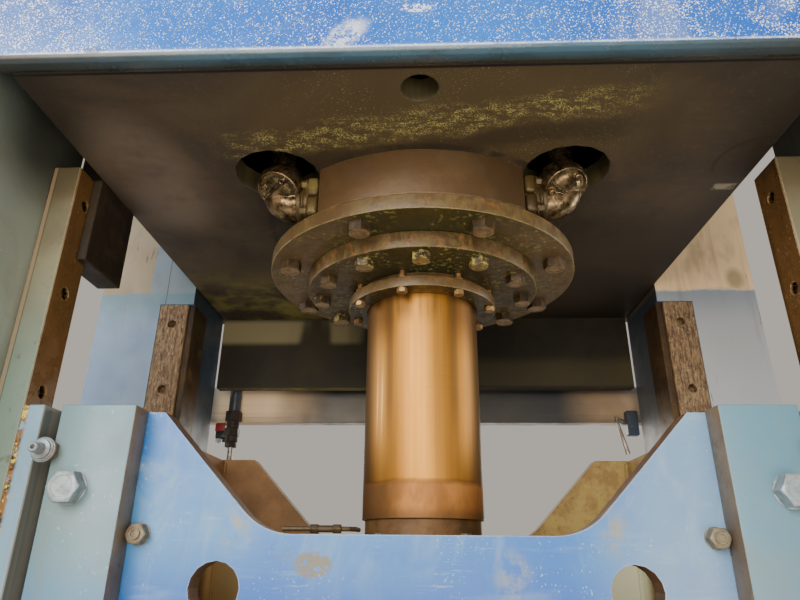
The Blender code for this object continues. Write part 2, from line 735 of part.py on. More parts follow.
def make_hanging_plate():
    inner = -HALF_CROWN - FIT
    bottom = CROWN_UNDERSIDE - HANGER_HEIGHT
    top = CROWN_UNDERSIDE + HANGER_RISE
    item = box_part("hanging_plate", (-HALF_CROWN - HANGER_THICKNESS, HANGER_FRONT, bottom),
                    (inner, HANGER_BACK, top), "oily_iron")
    nose = ((FIT - WAY_HALF_SPAN, HANGER_FRONT - HANGER_NOSE, bottom),
            (inner, HANGER_FRONT + SINK, CROWN_UNDERSIDE))
    flange = ((FIT - FRONT_POST_INNER, HANGER_FRONT, CROWN_UNDERSIDE),
              (inner, HANGER_FRONT + HANGER_FLANGE, top))
    join(item, boxes_mesh("hanger_nose", [nose]))
    join(item, boxes_mesh("hanger_flange", [flange]))
    bevel(item, WAY_BEVEL)


def make_rear_rail():
    low = (-HALF_FRAME, RAIL_FACE, RAIL_BOTTOM)
    high = (HALF_FRAME, RAIL_FACE + RAIL_DEPTH, RAIL_TOP)
    item = box_part("rear_rail", low, high, "rail_paint", WAY_BEVEL)
    hollow = [((low[0] - OVERRUN, low[1] + RAIL_WALL, low[2] + RAIL_WALL),
               (high[0] + OVERRUN, high[1] - RAIL_WALL, high[2] - RAIL_WALL))]
    cut(item, boxes_mesh("rail_hollow", hollow))
    feet = []
    for _, side in SIDES:
        x0, x1 = span(side, HALF_FRAME - RAIL_FOOT_WIDTH - POST_WALL, HALF_FRAME - POST_WALL)
        feet.append(((x0, BACK_INNER, RAIL_BOTTOM + RAIL_WALL),
                     (x1, RAIL_FACE + SINK, RAIL_TOP - RAIL_WALL)))
    join(item, boxes_mesh("rail_feet", feet))


def make_gauge():
    top = CROWN_UNDERSIDE + GAUGE_TUBE_RISE
    bottom = CROWN_UNDERSIDE - GAUGE_TUBE_DROP
    nut_bottom = bottom - GAUGE_NUT_HEIGHT
    inner = GAUGE_ROD_RADIUS + FIT
    step = GAUGE_NUT_RADIUS - GAUGE_TUBE_RADIUS
    profile = [(inner, top), (GAUGE_TUBE_RADIUS, top), (GAUGE_TUBE_RADIUS, bottom),
               (GAUGE_NUT_RADIUS, bottom - step), (GAUGE_NUT_RADIUS, nut_bottom + step),
               (GAUGE_TUBE_RADIUS, nut_bottom), (inner, nut_bottom)]
    tube = turned_part("gauge_tube", profile, "post_paint", SMALL_STEPS)
    tube.location = (GAUGE_X, GAUGE_Y, 0)
    clamp_low = (GAUGE_X - GAUGE_CLAMP_WIDTH / 2, FACE_BACK + FIT, CROWN_UNDERSIDE + FIT)
    clamp_high = (GAUGE_X + GAUGE_CLAMP_WIDTH / 2, GAUGE_Y, CROWN_UNDERSIDE + GAUGE_CLAMP_HEIGHT)
    clamp = box_part("gauge_clamp", clamp_low, clamp_high, "machined_steel")
    way = [(clear_radius(GAUGE_TUBE_RADIUS, SMALL_STEPS), (GAUGE_X, GAUGE_Y, clamp_low[2] - OVERRUN),
            (GAUGE_X, GAUGE_Y, clamp_high[2] + OVERRUN), SMALL_STEPS)]
    cut(clamp, rounds_mesh("clamp_way", way))
    arm_top = CROWN_UNDERSIDE - GAUGE_ARM_DROP
    rod_top = CROWN_UNDERSIDE - GAUGE_ROD_TOP_DROP
    arm_low = (GAUGE_X, SLIDE_BACK + FIT, arm_top - GAUGE_ARM_HEIGHT)
    arm_high = (GAUGE_X + GAUGE_ARM_WIDTH, GAUGE_Y, arm_top)
    rod = box_part("gauge_rod", arm_low, arm_high, "machined_steel")
    bar = [(GAUGE_ROD_RADIUS, (GAUGE_X, GAUGE_Y, arm_top - GAUGE_ARM_HEIGHT / 2),
            (GAUGE_X, GAUGE_Y, rod_top), LEG_STEPS)]
    hub = [(GAUGE_HUB_RADIUS, (GAUGE_X, GAUGE_Y, arm_top - GAUGE_ARM_HEIGHT),
            (GAUGE_X, GAUGE_Y, arm_top + GAUGE_HUB_RADIUS), LEG_STEPS)]
    join(rod, rounds_mesh("gauge_hub", hub))
    join(rod, rounds_mesh("gauge_bar", bar))


def make_switches():
    y0 = RAIL_FACE + (RAIL_DEPTH - SWITCH_DEPTH) / 2
    x0 = -SWITCH_X - SWITCH_WIDTH / 2
    box_part("limit_switch_left", (x0, y0, RAIL_BOTTOM - FIT - SWITCH_HEIGHT),
             (x0 + SWITCH_WIDTH, y0 + SWITCH_DEPTH, RAIL_BOTTOM - FIT), "switch_plastic", SWITCH_BEVEL)
    x0 = SWITCH_X - SWITCH_WIDTH / 2
    y1 = RAIL_FACE - FIT
    box_part("limit_switch_right", (x0, y1 - SWITCH_DEPTH, RAIL_BOTTOM - TRIP_PLATE_BELOW),
             (x0 + SWITCH_WIDTH, y1, RAIL_BOTTOM + TRIP_PLATE_ABOVE), "machined_steel", SWITCH_BEVEL)
    start = (x0 - FIT, y1 - SWITCH_DEPTH / 2, RAIL_BOTTOM)
    stub = (start[0] - TRIP_ROD_STUB, start[1], RAIL_BOTTOM)
    knee = (start[0] - TRIP_ROD_SPREAD, start[1], RAIL_BOTTOM + TRIP_ROD_RISE)
    foot = (knee[0] + TRIP_ROD_LEAN, start[1], knee[2] - TRIP_ROD_LENGTH)
    tube_part("trip_rod", [start, stub, knee, foot], TRIP_ROD_RADIUS, "polished_steel")


def make_barrel():
    top = BARREL_TOP
    shoulder = CROWN_UNDERSIDE - FIT
    profile = [(BORE_RADIUS, top), (BARREL_RADIUS, top), (BARREL_RADIUS, shoulder),
               (DRUM_RADIUS, shoulder), (DRUM_RADIUS, DRUM_BOTTOM), (BORE_RADIUS, DRUM_BOTTOM)]
    item = turned_part("cylinder_barrel", profile, "oily_iron")
    flats = []
    for _, side in SIDES:
        x0, x1 = span(side, DRUM_FLAT_X, DRUM_RADIUS + OVERRUN)
        flats.append(((x0, -DRUM_RADIUS - OVERRUN, DRUM_BOTTOM - OVERRUN),
                      (x1, DRUM_RADIUS + OVERRUN, shoulder + OVERRUN)))
    cut(item, boxes_mesh("drum_flats", flats))
    ports = []
    for _, side in SIDES:
        ports.append((PIPE_RADIUS - PIPE_WALL, (side * (DRUM_FLAT_X + OVERRUN), ELBOW_Y, ELBOW_Z),
                      (side * (DRUM_FLAT_X - OVERRUN), ELBOW_Y, ELBOW_Z), HOLE_STEPS))
    cut(item, rounds_mesh("port_holes", ports))


def make_head():
    inner = RAM_RADIUS + FIT + BUSHING_WALL + FIT
    profile = ring_profile(inner, DRUM_RADIUS, HEAD_BOTTOM, DRUM_BOTTOM - FIT, EDGE_BEVEL)
    item = turned_part("cylinder_head", profile, "oily_iron")
    join(item, circle_bolts("head_bolts", HEAD_BOLT_CIRCLE, HEAD_BOLT_FLATS, HEAD_BOLT_HEIGHT,
                            HEAD_BOTTOM, HEAD_BOLT_DEGREES))


def make_gland():
    inner = RAM_RADIUS + FIT + PACKING_WALL + FIT
    top = HEAD_BOTTOM - FIT
    profile = ring_profile(inner, GLAND_RADIUS, GLAND_BOTTOM, top, EDGE_BEVEL)
    item = turned_part("gland_ring", profile, "oily_iron")
    join(item, circle_bolts("gland_bolts", GLAND_BOLT_CIRCLE, GLAND_BOLT_FLATS, GLAND_BOLT_HEIGHT,
                            GLAND_BOTTOM, even_degrees(GLAND_BOLT_COUNT)))


def make_wiper_ring():
    inner = RAM_RADIUS + FIT + WIPER_SEAL_WALL + FIT
    top = GLAND_BOTTOM - FIT
    lip = RAM_RADIUS + RUNNING * 2
    seal_top = WIPER_BOTTOM + (WIPER_THICKNESS - WIPER_SEAL_HEIGHT) / 2 + WIPER_SEAL_HEIGHT
    seal_bottom = seal_top - WIPER_SEAL_HEIGHT - FIT * 2
    profile = [(inner, top), (WIPER_NECK_RADIUS, top), (WIPER_NECK_RADIUS, NECK_BOTTOM),
               (WIPER_RADIUS - EDGE_BEVEL, NECK_BOTTOM), (WIPER_RADIUS, NECK_BOTTOM - EDGE_BEVEL),
               (WIPER_RADIUS, WIPER_BOTTOM + EDGE_BEVEL), (WIPER_RADIUS - EDGE_BEVEL, WIPER_BOTTOM),
               (lip, WIPER_BOTTOM), (lip, seal_bottom), (inner, seal_bottom)]
    item = turned_part("wiper_ring", profile, "oily_iron")
    join(item, circle_bolts("wiper_bolts", WIPER_BOLT_CIRCLE, WIPER_BOLT_FLATS, WIPER_BOLT_HEIGHT,
                            WIPER_BOTTOM, even_degrees(WIPER_BOLT_COUNT, WIPER_BOLT_DEGREES)))
    seal = ring_profile(RAM_RADIUS + FIT, inner - FIT, seal_bottom + FIT, seal_top)
    turned_part("wiper_seal", seal, "seal_rubber")


def make_rod_seals():
    bushing_outer = RAM_RADIUS + FIT + BUSHING_WALL
    bushing = ring_profile(RAM_RADIUS + FIT, bushing_outer, HEAD_BOTTOM, DRUM_BOTTOM - FIT)
    turned_part("rod_bushing", bushing, "bronze")
    packing_outer = RAM_RADIUS + FIT + PACKING_WALL
    packing = ring_profile(RAM_RADIUS + FIT, packing_outer, GLAND_BOTTOM, HEAD_BOTTOM - FIT)
    turned_part("rod_packing", packing, "seal_rubber")


def make_cap():
    bottom = BARREL_TOP + FIT
    top = bottom + CAP_THICKNESS
    profile = ring_profile(CAP_PORT_RADIUS, CAP_RADIUS, bottom, top, EDGE_BEVEL)
    item = turned_part("cylinder_cap", profile, "oily_iron")
    join(item, circle_bolts("cap_bolts", CAP_BOLT_CIRCLE, GLAND_BOLT_FLATS, GLAND_BOLT_HEIGHT,
                            top, even_degrees(CAP_BOLT_COUNT), False))


def elbow_profile():
    collar_top = ELBOW_DROP + ELBOW_COLLAR_HEIGHT
    neck = math.acos(ELBOW_RADIUS / ELBOW_BALL_RADIUS)
    points = [(0, collar_top), (ELBOW_COLLAR_RADIUS, collar_top), (ELBOW_COLLAR_RADIUS, ELBOW_DROP),
              (ELBOW_RADIUS, ELBOW_DROP)]
    for index in range(BALL_STEPS + 1):
        angle = neck - (neck + math.pi / 2) * index / BALL_STEPS
        points.append((ELBOW_BALL_RADIUS * math.cos(angle), ELBOW_BALL_RADIUS * math.sin(angle)))
    points[-1] = (0, -ELBOW_BALL_RADIUS)
    return points


def make_elbow(word, side):
    face = DRUM_FLAT_X + FIT
    block_outer = face + SPLIT_FLANGE_THICKNESS
    half = SPLIT_FLANGE_SIZE / 2
    x0, x1 = span(side, face, block_outer)
    block = box_part("split_flange_" + word, (x0, ELBOW_Y - half, ELBOW_Z - half),
                     (x1, ELBOW_Y + half, CROWN_UNDERSIDE - FIT * 2), "dark_bronze", EDGE_BEVEL)
    eye = [(clear_radius(ELBOW_RADIUS, SMALL_STEPS), (side * (face - OVERRUN), ELBOW_Y, ELBOW_Z),
            (side * (block_outer + OVERRUN), ELBOW_Y, ELBOW_Z), SMALL_STEPS)]
    cut(block, rounds_mesh("flange_eye", eye))

    def heads(shape):
        reach = SPLIT_FLANGE_SIZE * SPLIT_BOLT_SHARE
        for across in (-1, 1):
            for along in (-1, 1):
                y = ELBOW_Y + across * reach
                z = ELBOW_Z + along * reach
                hex_into(shape, SPLIT_BOLT_FLATS, (side * (block_outer - SINK), y, z),
                         (side * (block_outer + SPLIT_BOLT_HEIGHT), y, z))
    join(block, mesh_from("split_bolts", heads))

    item = turned_part("elbow_" + word, elbow_profile(), "dark_bronze", SMALL_STEPS)
    leg = mesh_from("elbow_leg", lambda shape: round_into(
        shape, ELBOW_RADIUS, (0, 0, 0), (side * (face - ELBOW_X), 0, 0), LEG_STEPS))
    tool = add_tool(item.name + "_leg", leg)
    combine(item, tool, "UNION")
    item.location = (side * ELBOW_X, ELBOW_Y, ELBOW_Z)
    tool.location = item.location


def make_pipe(word, side):
    bottom = CROWN_UNDERSIDE + ELBOW_COLLAR_HEIGHT + FIT
    top = CROWN_TOP + PIPE_ABOVE
    bore = PIPE_RADIUS - PIPE_WALL
    profile = [(bore, top), (PIPE_FLANGE_RADIUS, top), (PIPE_FLANGE_RADIUS, top - PIPE_FLANGE_HEIGHT),
               (PIPE_RADIUS, top - PIPE_FLANGE_HEIGHT), (PIPE_RADIUS, bottom), (bore, bottom)]
    item = turned_part("pipe_" + word, profile, "dark_bronze", SMALL_STEPS)
    item.location = (side * ELBOW_X, ELBOW_Y, 0)


def make_ram():
    top = PISTON_BOTTOM
    foot_top = RAM_BOTTOM + RAM_FOOT_HEIGHT
    nut_top = PISTON_TOP + PISTON_NUT_HEIGHT
    profile = [(0, nut_top), (PISTON_SPIGOT_RADIUS, nut_top), (PISTON_SPIGOT_RADIUS, top), (RAM_RADIUS, top), (RAM_RADIUS, RAM_SHOULDER),
               (SPIGOT_RADIUS, RAM_SHOULDER), (SPIGOT_RADIUS, foot_top), (RAM_RADIUS, foot_top),
               (RAM_RADIUS, RAM_BOTTOM), (0, RAM_BOTTOM)]
    turned_part("ram", profile, "polished_steel")


def make_piston():
    bottom = PISTON_BOTTOM + FIT
    top = PISTON_TOP
    outer = BORE_RADIUS - RUNNING
    groove = outer - PISTON_RING_DEPTH
    inner = PISTON_SPIGOT_RADIUS + FIT
    profile = [(inner, top), (outer, top)]
    for share in sorted(PISTON_RING_SHARES, reverse=True):
        centre = bottom + (top - bottom) * share
        high = centre + PISTON_RING_HEIGHT / 2
        low = centre - PISTON_RING_HEIGHT / 2
        profile += [(outer, high), (groove, high), (groove, low), (outer, low)]
    profile += [(outer, bottom), (inner, bottom)]
    turned_part("piston", profile, "machined_steel")
    for word, share in zip(("lower", "upper"), sorted(PISTON_RING_SHARES)):
        centre = bottom + (top - bottom) * share
        half = PISTON_RING_HEIGHT / 2 - FIT
        ring = ring_profile(groove + FIT, BORE_RADIUS - FIT, centre - half, centre + half)
        turned_part("piston_ring_" + word, ring, "seal_rubber")
    nut = ring_profile(inner, PISTON_NUT_RADIUS, top + FIT, top + PISTON_NUT_HEIGHT)
    turned_part("piston_nut", nut, "machined_steel")


def make_clamp(word, side):
    bottom = RAM_BOTTOM + RAM_FOOT_HEIGHT + FIT
    top = bottom + CLAMP_HEIGHT
    inner = SPIGOT_RADIUS + FIT
    skirt = RAM_RADIUS + FIT
    profile = [(inner, top), (CLAMP_RADIUS, top), (CLAMP_RADIUS, RAM_BOTTOM),
               (skirt, RAM_BOTTOM), (skirt, bottom), (inner, bottom)]
    item = turned_part("ram_clamp_" + word, profile, "machined_steel")
    x0, x1 = span(-side, -CLAMP_SPLIT / 2, CLAMP_RADIUS + OVERRUN)
    half = [((x0, -CLAMP_RADIUS - OVERRUN, RAM_BOTTOM - OVERRUN),
             (x1, CLAMP_RADIUS + OVERRUN, top + OVERRUN))]
    cut(item, boxes_mesh("clamp_half", half))
    degrees = [side * angle for angle in CLAMP_BOLT_DEGREES]
    join(item, circle_bolts("clamp_bolts", CLAMP_BOLT_CIRCLE, CLAMP_BOLT_FLATS, CLAMP_BOLT_HEIGHT,
                            top, degrees, False))


def fillet_points(side):
    slope = math.atan2(CUT_DEPTH, CUT_SLOPE_WIDTH)
    centre_x = CUT_FLOOR_HALF - CUT_FILLET * math.tan(slope / 2)
    centre_z = CUT_FLOOR + CUT_FILLET
    points = []
    for index in range(FILLET_STEPS + 1):
        angle = slope * index / FILLET_STEPS
        points.append((side * (centre_x + CUT_FILLET * math.sin(angle)),
                       centre_z - CUT_FILLET * math.cos(angle)))
    return points


def slide_outline(half):
    right = fillet_points(1)
    left = fillet_points(-1)
    points = [(-half, SLIDE_BOTTOM), (half, SLIDE_BOTTOM), (half, PLATE_TOP), (CUT_TOP_HALF, PLATE_TOP)]
    points += list(reversed(right))
    points += left
    points += [(-CUT_TOP_HALF, PLATE_TOP), (-half, PLATE_TOP)]
    return points


def make_slide_frame():
    front_half = STRIP_INNER - FIT
    back_half = REAR_GIB_INNER - FIT
    front = outline_plate("slide_front", slide_outline(front_half), SLIDE_FRONT,
                          SLIDE_FRONT + SLIDE_PLATE)
    item = add_part("slide_frame", front, "slide_paint")
    back = outline_plate("slide_back", slide_outline(back_half), SLIDE_BACK - SLIDE_PLATE, SLIDE_BACK)
    inner_front = SLIDE_FRONT + SLIDE_PLATE - SINK
    inner_back = SLIDE_BACK - SLIDE_PLATE + SINK
    floor = ((-back_half, SLIDE_FRONT + SINK, SLIDE_BOTTOM),
             (back_half, SLIDE_BACK - SINK, SLIDE_BOTTOM + SLIDE_FLOOR))
    join(item, boxes_mesh("slide_floor", [floor]))
    join(item, back)
    web_outer = back_half - WEB_INSET
    for _, side in SIDES:
        x0, x1 = span(side, web_outer - SLIDE_WEB, web_outer)
        join(item, boxes_mesh("slide_web", [((x0, inner_front, SLIDE_BOTTOM + SINK),
                                             (x1, inner_back, PLATE_TOP - SINK))]))
    rounds = []
    for _, side in SIDES:
        x = side * SLIDE_HOLE_X
        z = CUT_FLOOR - SLIDE_HOLE_BELOW_CUT
        rounds.append((SLIDE_HOLE_RADIUS, (x, SLIDE_FRONT - OVERRUN, z),
                       (x, SLIDE_FRONT + SLIDE_PLATE + OVERRUN, z), SMALL_STEPS))
    cut(item, rounds_mesh("slide_holes", rounds))


def make_ram_seat():
    half = DECK_WIDTH / 2
    front = SLIDE_FRONT + SLIDE_PLATE + FIT
    back = SLIDE_BACK - SLIDE_PLATE - FIT
    base = SLIDE_BOTTOM + SLIDE_FLOOR + FIT
    deck_bottom = DECK_TOP - DECK_THICKNESS
    item = box_part("ram_seat", (-half, front, base), (half, back, DECK_TOP), "slide_paint")
    inner = half - SLIDE_WEB
    hollow = ((-inner, front - OVERRUN, base - OVERRUN), (inner, back + OVERRUN, deck_bottom))
    cut(item, boxes_mesh("seat_hollow", [hollow]))
    y = (SLIDE_FRONT + SLIDE_BACK) / 2
    z = (base + deck_bottom) / 2
    across = [(WEB_HOLE_RADIUS, (-half - OVERRUN, y, z), (half + OVERRUN, y, z), SMALL_STEPS)]
    cut(item, rounds_mesh("rib_holes", across))


def make_die_plate():
    half = REAR_GIB_INNER - FIT
    low = (-half, SLIDE_FRONT, SLIDE_BOTTOM - FIT - DIE_PLATE)
    high = (half, SLIDE_BACK, SLIDE_BOTTOM - FIT)
    item = box_part("die_plate", low, high, "machined_steel", WAY_BEVEL)
    ends = (low[1] - OVERRUN, high[1] + OVERRUN)
    cut(item, t_slots("die_slots", *ends, low[2], -1))
    cut(item, t_feet("die_slot_feet", *ends, low[2], -1))


def mirrored_heights(below):
    return (SLIDE_TOP - below, SLIDE_BOTTOM + below)


def make_front_gib(word, side):
    x0, x1 = span(side, PAD_INNER, PAD_OUTER)
    pad = box_part("gib_pad_" + word, (x0, PAD_FRONT, SLIDE_BOTTOM), (x1, SLIDE_FRONT - FIT, SLIDE_TOP),
                   "slide_paint", PAD_BEVEL)
    stems = []
    for z in mirrored_heights(SCREW_BELOW_TOP):
        x = side * SCREW_X
        stems.append((clear_radius(SCREW_STEM_RADIUS, LEG_STEPS), (x, PAD_FRONT - OVERRUN, z),
                      (x, SLIDE_FRONT + OVERRUN, z), LEG_STEPS))
    cut(pad, rounds_mesh("stem_ways", stems))

    def washers(shape):
        for z in mirrored_heights(PAD_BOLT_BELOW_TOP):
            x = side * PAD_BOLT_X
            round_into(shape, PAD_WASHER_RADIUS, (x, PAD_FRONT + SINK, z),
                       (x, PAD_FRONT - PAD_WASHER_HEIGHT, z), SMALL_STEPS)
    join(pad, mesh_from("pad_washers", washers))

    def heads(shape):
        for z in mirrored_heights(PAD_BOLT_BELOW_TOP):
            x = side * PAD_BOLT_X
            hex_into(shape, PAD_BOLT_FLATS, (x, PAD_FRONT - PAD_WASHER_HEIGHT / 2, z),
                     (x, PAD_FRONT - PAD_WASHER_HEIGHT - PAD_BOLT_HEIGHT, z))
        y = SLIDE_FRONT - PAD_DEPTH / 2
        for z in mirrored_heights(SIDE_BOLT_BELOW_TOP):
            hex_into(shape, SIDE_BOLT_FLATS, (side * (PAD_INNER + SINK), y, z),
                     (side * (PAD_INNER - SIDE_BOLT_HEIGHT), y, z))
    join(pad, mesh_from("pad_bolts", heads))
    s0, s1 = span(side, STRIP_INNER, STRIP_OUTER)
    box_part("gib_strip_" + word, (s0, PAD_FRONT, SLIDE_BOTTOM),
             (s1, PAD_FRONT + STRIP_DEPTH, SLIDE_TOP), "slide_paint", PAD_BEVEL)


def screw_profile():
    base = FIT
    nut_base = PAD_DEPTH + FIT
    nut_top = nut_base + SCREW_NUT_HEIGHT
    collar_top = nut_top + SCREW_COLLAR_HEIGHT
    tip_top = collar_top + SCREW_TIP_HEIGHT
    chamfer = SCREW_BORE_RADIUS / 2
    floor = tip_top - SCREW_TIP_HEIGHT / 2
    return [(0, floor), (SCREW_BORE_RADIUS, floor), (SCREW_BORE_RADIUS, tip_top),
            (SCREW_TIP_RADIUS - chamfer, tip_top), (SCREW_TIP_RADIUS, tip_top - chamfer),
            (SCREW_TIP_RADIUS, collar_top),
            (SCREW_COLLAR_RADIUS - chamfer, collar_top), (SCREW_COLLAR_RADIUS, collar_top - chamfer),
            (SCREW_COLLAR_RADIUS, nut_top), (SCREW_STEM_RADIUS, nut_top),
            (SCREW_STEM_RADIUS, base), (0, base)]


def make_screws(word, side):
    for level, z in zip(("upper", "lower"), mirrored_heights(SCREW_BELOW_TOP)):
        name = "gib_screw_%s_%s" % (word, level)
        item = turned_part(name, screw_profile(), "machined_steel", LEG_STEPS)
        nut_low = PAD_DEPTH + FIT
        nut_high = PAD_DEPTH + SCREW_NUT_HEIGHT + SINK
        nut = mesh_from("screw_nut", lambda shape: hex_into(
            shape, SCREW_NUT_FLATS, (0, 0, nut_low), (0, 0, nut_high)))
        forward = Matrix.Rotation(math.pi / 2, 4, "X")
        place = Matrix.Translation((side * SCREW_X, SLIDE_FRONT, z)) @ forward
        tool = add_tool(item.name + "_nut", nut)
        combine(item, tool, "UNION")
        item.matrix_world = place
        tool.matrix_world = place


def make_rear_gib(word, side):
    x0, x1 = span(side, REAR_GIB_INNER, REAR_GIB_OUTER)
    box_part("gib_rear_" + word, (x0, REAR_GIB_BACK - REAR_GIB_DEPTH, SLIDE_BOTTOM),
             (x1, REAR_GIB_BACK, SLIDE_TOP), "oily_iron", PAD_BEVEL)


def make_grease_line():
    y = SLIDE_FRONT + GREASE_SETBACK
    z = CUT_FLOOR + FITTING_FLATS / math.sqrt(3) + FIT
    left = [(GREASE_LEFT, y, z), (FITTING_LEFT - FIT, y, z)]
    tube_part("grease_tube_left", left, GREASE_TUBE_RADIUS, "dark_bronze")
    turn = GREASE_RIGHT + GREASE_DIP
    right = [(FITTING_RIGHT + FIT, y, z), (GREASE_RIGHT, y, z), (turn, y + GREASE_DIP, z),
             (turn, y + GREASE_REACH, z)]
    tube_part("grease_tube_right", right, GREASE_TUBE_RADIUS, "dark_bronze")
    mesh = mesh_from("fitting", lambda shape: hex_into(
        shape, FITTING_FLATS, (FITTING_LEFT, y, z), (FITTING_RIGHT, y, z)))
    add_part("grease_fitting", mesh, "machined_steel")


def ride_on_axis(names):
    axis = bpy.data.objects.new("slide_axis", None)
    bpy.data.collections["hydraulic_press"].objects.link(axis)
    for item in bpy.data.collections["hydraulic_press"].objects:
        if item.name.startswith(names):
            item.parent = axis


def make_press():
    clear_scene()
    make_bed()
    make_bolster()
    make_front_posts()
    make_rear_posts()
    make_crown()
    make_front_ways()
    make_rear_ways()
    make_hanging_plate()
    make_rear_rail()
    make_gauge()
    make_switches()
    make_barrel()
    make_head()
    make_gland()
    make_wiper_ring()
    make_rod_seals()
    make_cap()
    make_ram()
    make_piston()
    make_slide_frame()
    make_ram_seat()
    make_die_plate()
    make_grease_line()
    for word, side in SIDES:
        make_elbow(word, side)
        make_pipe(word, side)
        make_clamp(word, side)
        make_front_gib(word, side)
        make_screws(word, side)
        make_rear_gib(word, side)
    ride_on_axis(SLIDE_BODY)


make_press()
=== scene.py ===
# Looks of a straight-side hydraulic press, seen from below its crown.
import math

import bmesh
import bpy
from mathutils import Matrix, Vector


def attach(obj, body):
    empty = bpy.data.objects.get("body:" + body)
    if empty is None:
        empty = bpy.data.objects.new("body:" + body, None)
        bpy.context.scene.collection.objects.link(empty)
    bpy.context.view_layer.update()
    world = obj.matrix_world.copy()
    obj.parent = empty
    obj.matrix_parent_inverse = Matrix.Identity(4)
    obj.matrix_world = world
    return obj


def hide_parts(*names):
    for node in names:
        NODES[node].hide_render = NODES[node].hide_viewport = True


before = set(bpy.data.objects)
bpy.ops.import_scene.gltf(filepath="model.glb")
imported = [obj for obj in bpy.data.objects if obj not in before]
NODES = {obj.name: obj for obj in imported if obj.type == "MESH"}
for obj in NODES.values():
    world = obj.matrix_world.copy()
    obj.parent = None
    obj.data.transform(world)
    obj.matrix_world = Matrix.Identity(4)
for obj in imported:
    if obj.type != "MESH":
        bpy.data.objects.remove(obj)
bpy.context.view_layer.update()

# Camera, solved from the photo's edges
CAMERA_PLACE = (0.0038, -1.3616, 1.7003)
CAMERA_YAW = math.radians(-2.354)
CAMERA_PITCH = math.radians(22.191)
CAMERA_ROLL = math.radians(0.501)
CAMERA_LENS = 27.67
SENSOR = 36

# Places shared with the frame, in metres
UNDERSIDE = 2.43
FIT = 0.0003
RAM_RADIUS = 0.127
DRUM_RADIUS = 0.357
DRUM_FLAT = 0.211
BORE = 0.205
BARREL_TOP = 3.29
CAP_TOP = 3.3603
BACK_DROP = 0.238
RAIL_MIDDLE = UNDERSIDE - 0.274
DRUM_BOTTOM = UNDERSIDE - 0.1
HEAD_BOTTOM = UNDERSIDE - 0.132
GLAND_BOTTOM = UNDERSIDE - 0.169
NECK_BOTTOM = UNDERSIDE - 0.187
WIPER_BOTTOM = UNDERSIDE - 0.21
SLIDE_TOP = 1.933
SLIDE_BOTTOM = 1.31
PAD_FRONT = -0.318
SLIDE_FRONT = -0.265
ELBOW = (0.3, -0.238, UNDERSIDE - 0.055)
GAUGE_PLACE = (-0.632, 0.666, 0)
HEAD_CIRCLE = 0.318
GLAND_CIRCLE = 0.238
WIPER_CIRCLE = 0.16
CAP_CIRCLE = 0.235
SIDES = (("left", -1), ("right", 1))
SMOOTH_ANGLE = math.radians(38)
WELD_PITCH = 0.007
HEX_STEPS = 36
EVERY_30 = range(0, 360, 30)
EVERY_45 = range(30, 375, 45)


def rgb(red, green, blue):
    values = []
    for value in (red, green, blue):
        share = value / 255
        values.append(share / 12.92 if share <= 0.04045 else ((share + 0.055) / 1.055) ** 2.4)
    return (*values, 1)


class Value:
    """An output of a graph, for sums, products and ramps."""

    def __init__(self, graph, socket):
        self.graph = graph
        self.socket = socket

    def __add__(self, other):
        return self.graph.maths("ADD", self, other)

    def __sub__(self, other):
        return self.graph.maths("SUBTRACT", self, other)

    def __mul__(self, other):
        return self.graph.maths("MULTIPLY", self, other)

    def __abs__(self):
        return self.graph.maths("ABSOLUTE", self)

    def ramp(self, low, high, out_low=0.0, out_high=1.0):
        """Goes smoothly from out_low to out_high between low and high, which may fall."""
        node = self.graph.add("ShaderNodeMapRange", interpolation_type="SMOOTHSTEP")
        names = ("Value", "From Min", "From Max", "To Min", "To Max")
        for name, value in zip(names, (self, low, high, out_low, out_high)):
            self.graph.put(node.inputs[name], value)
        return Value(self.graph, node.outputs["Result"])

    def band(self, low, high, soft):
        """1 between low and high, 0 outside."""
        return self.ramp(low - soft, low + soft) * self.ramp(high - soft, high + soft, 1.0, 0.0)


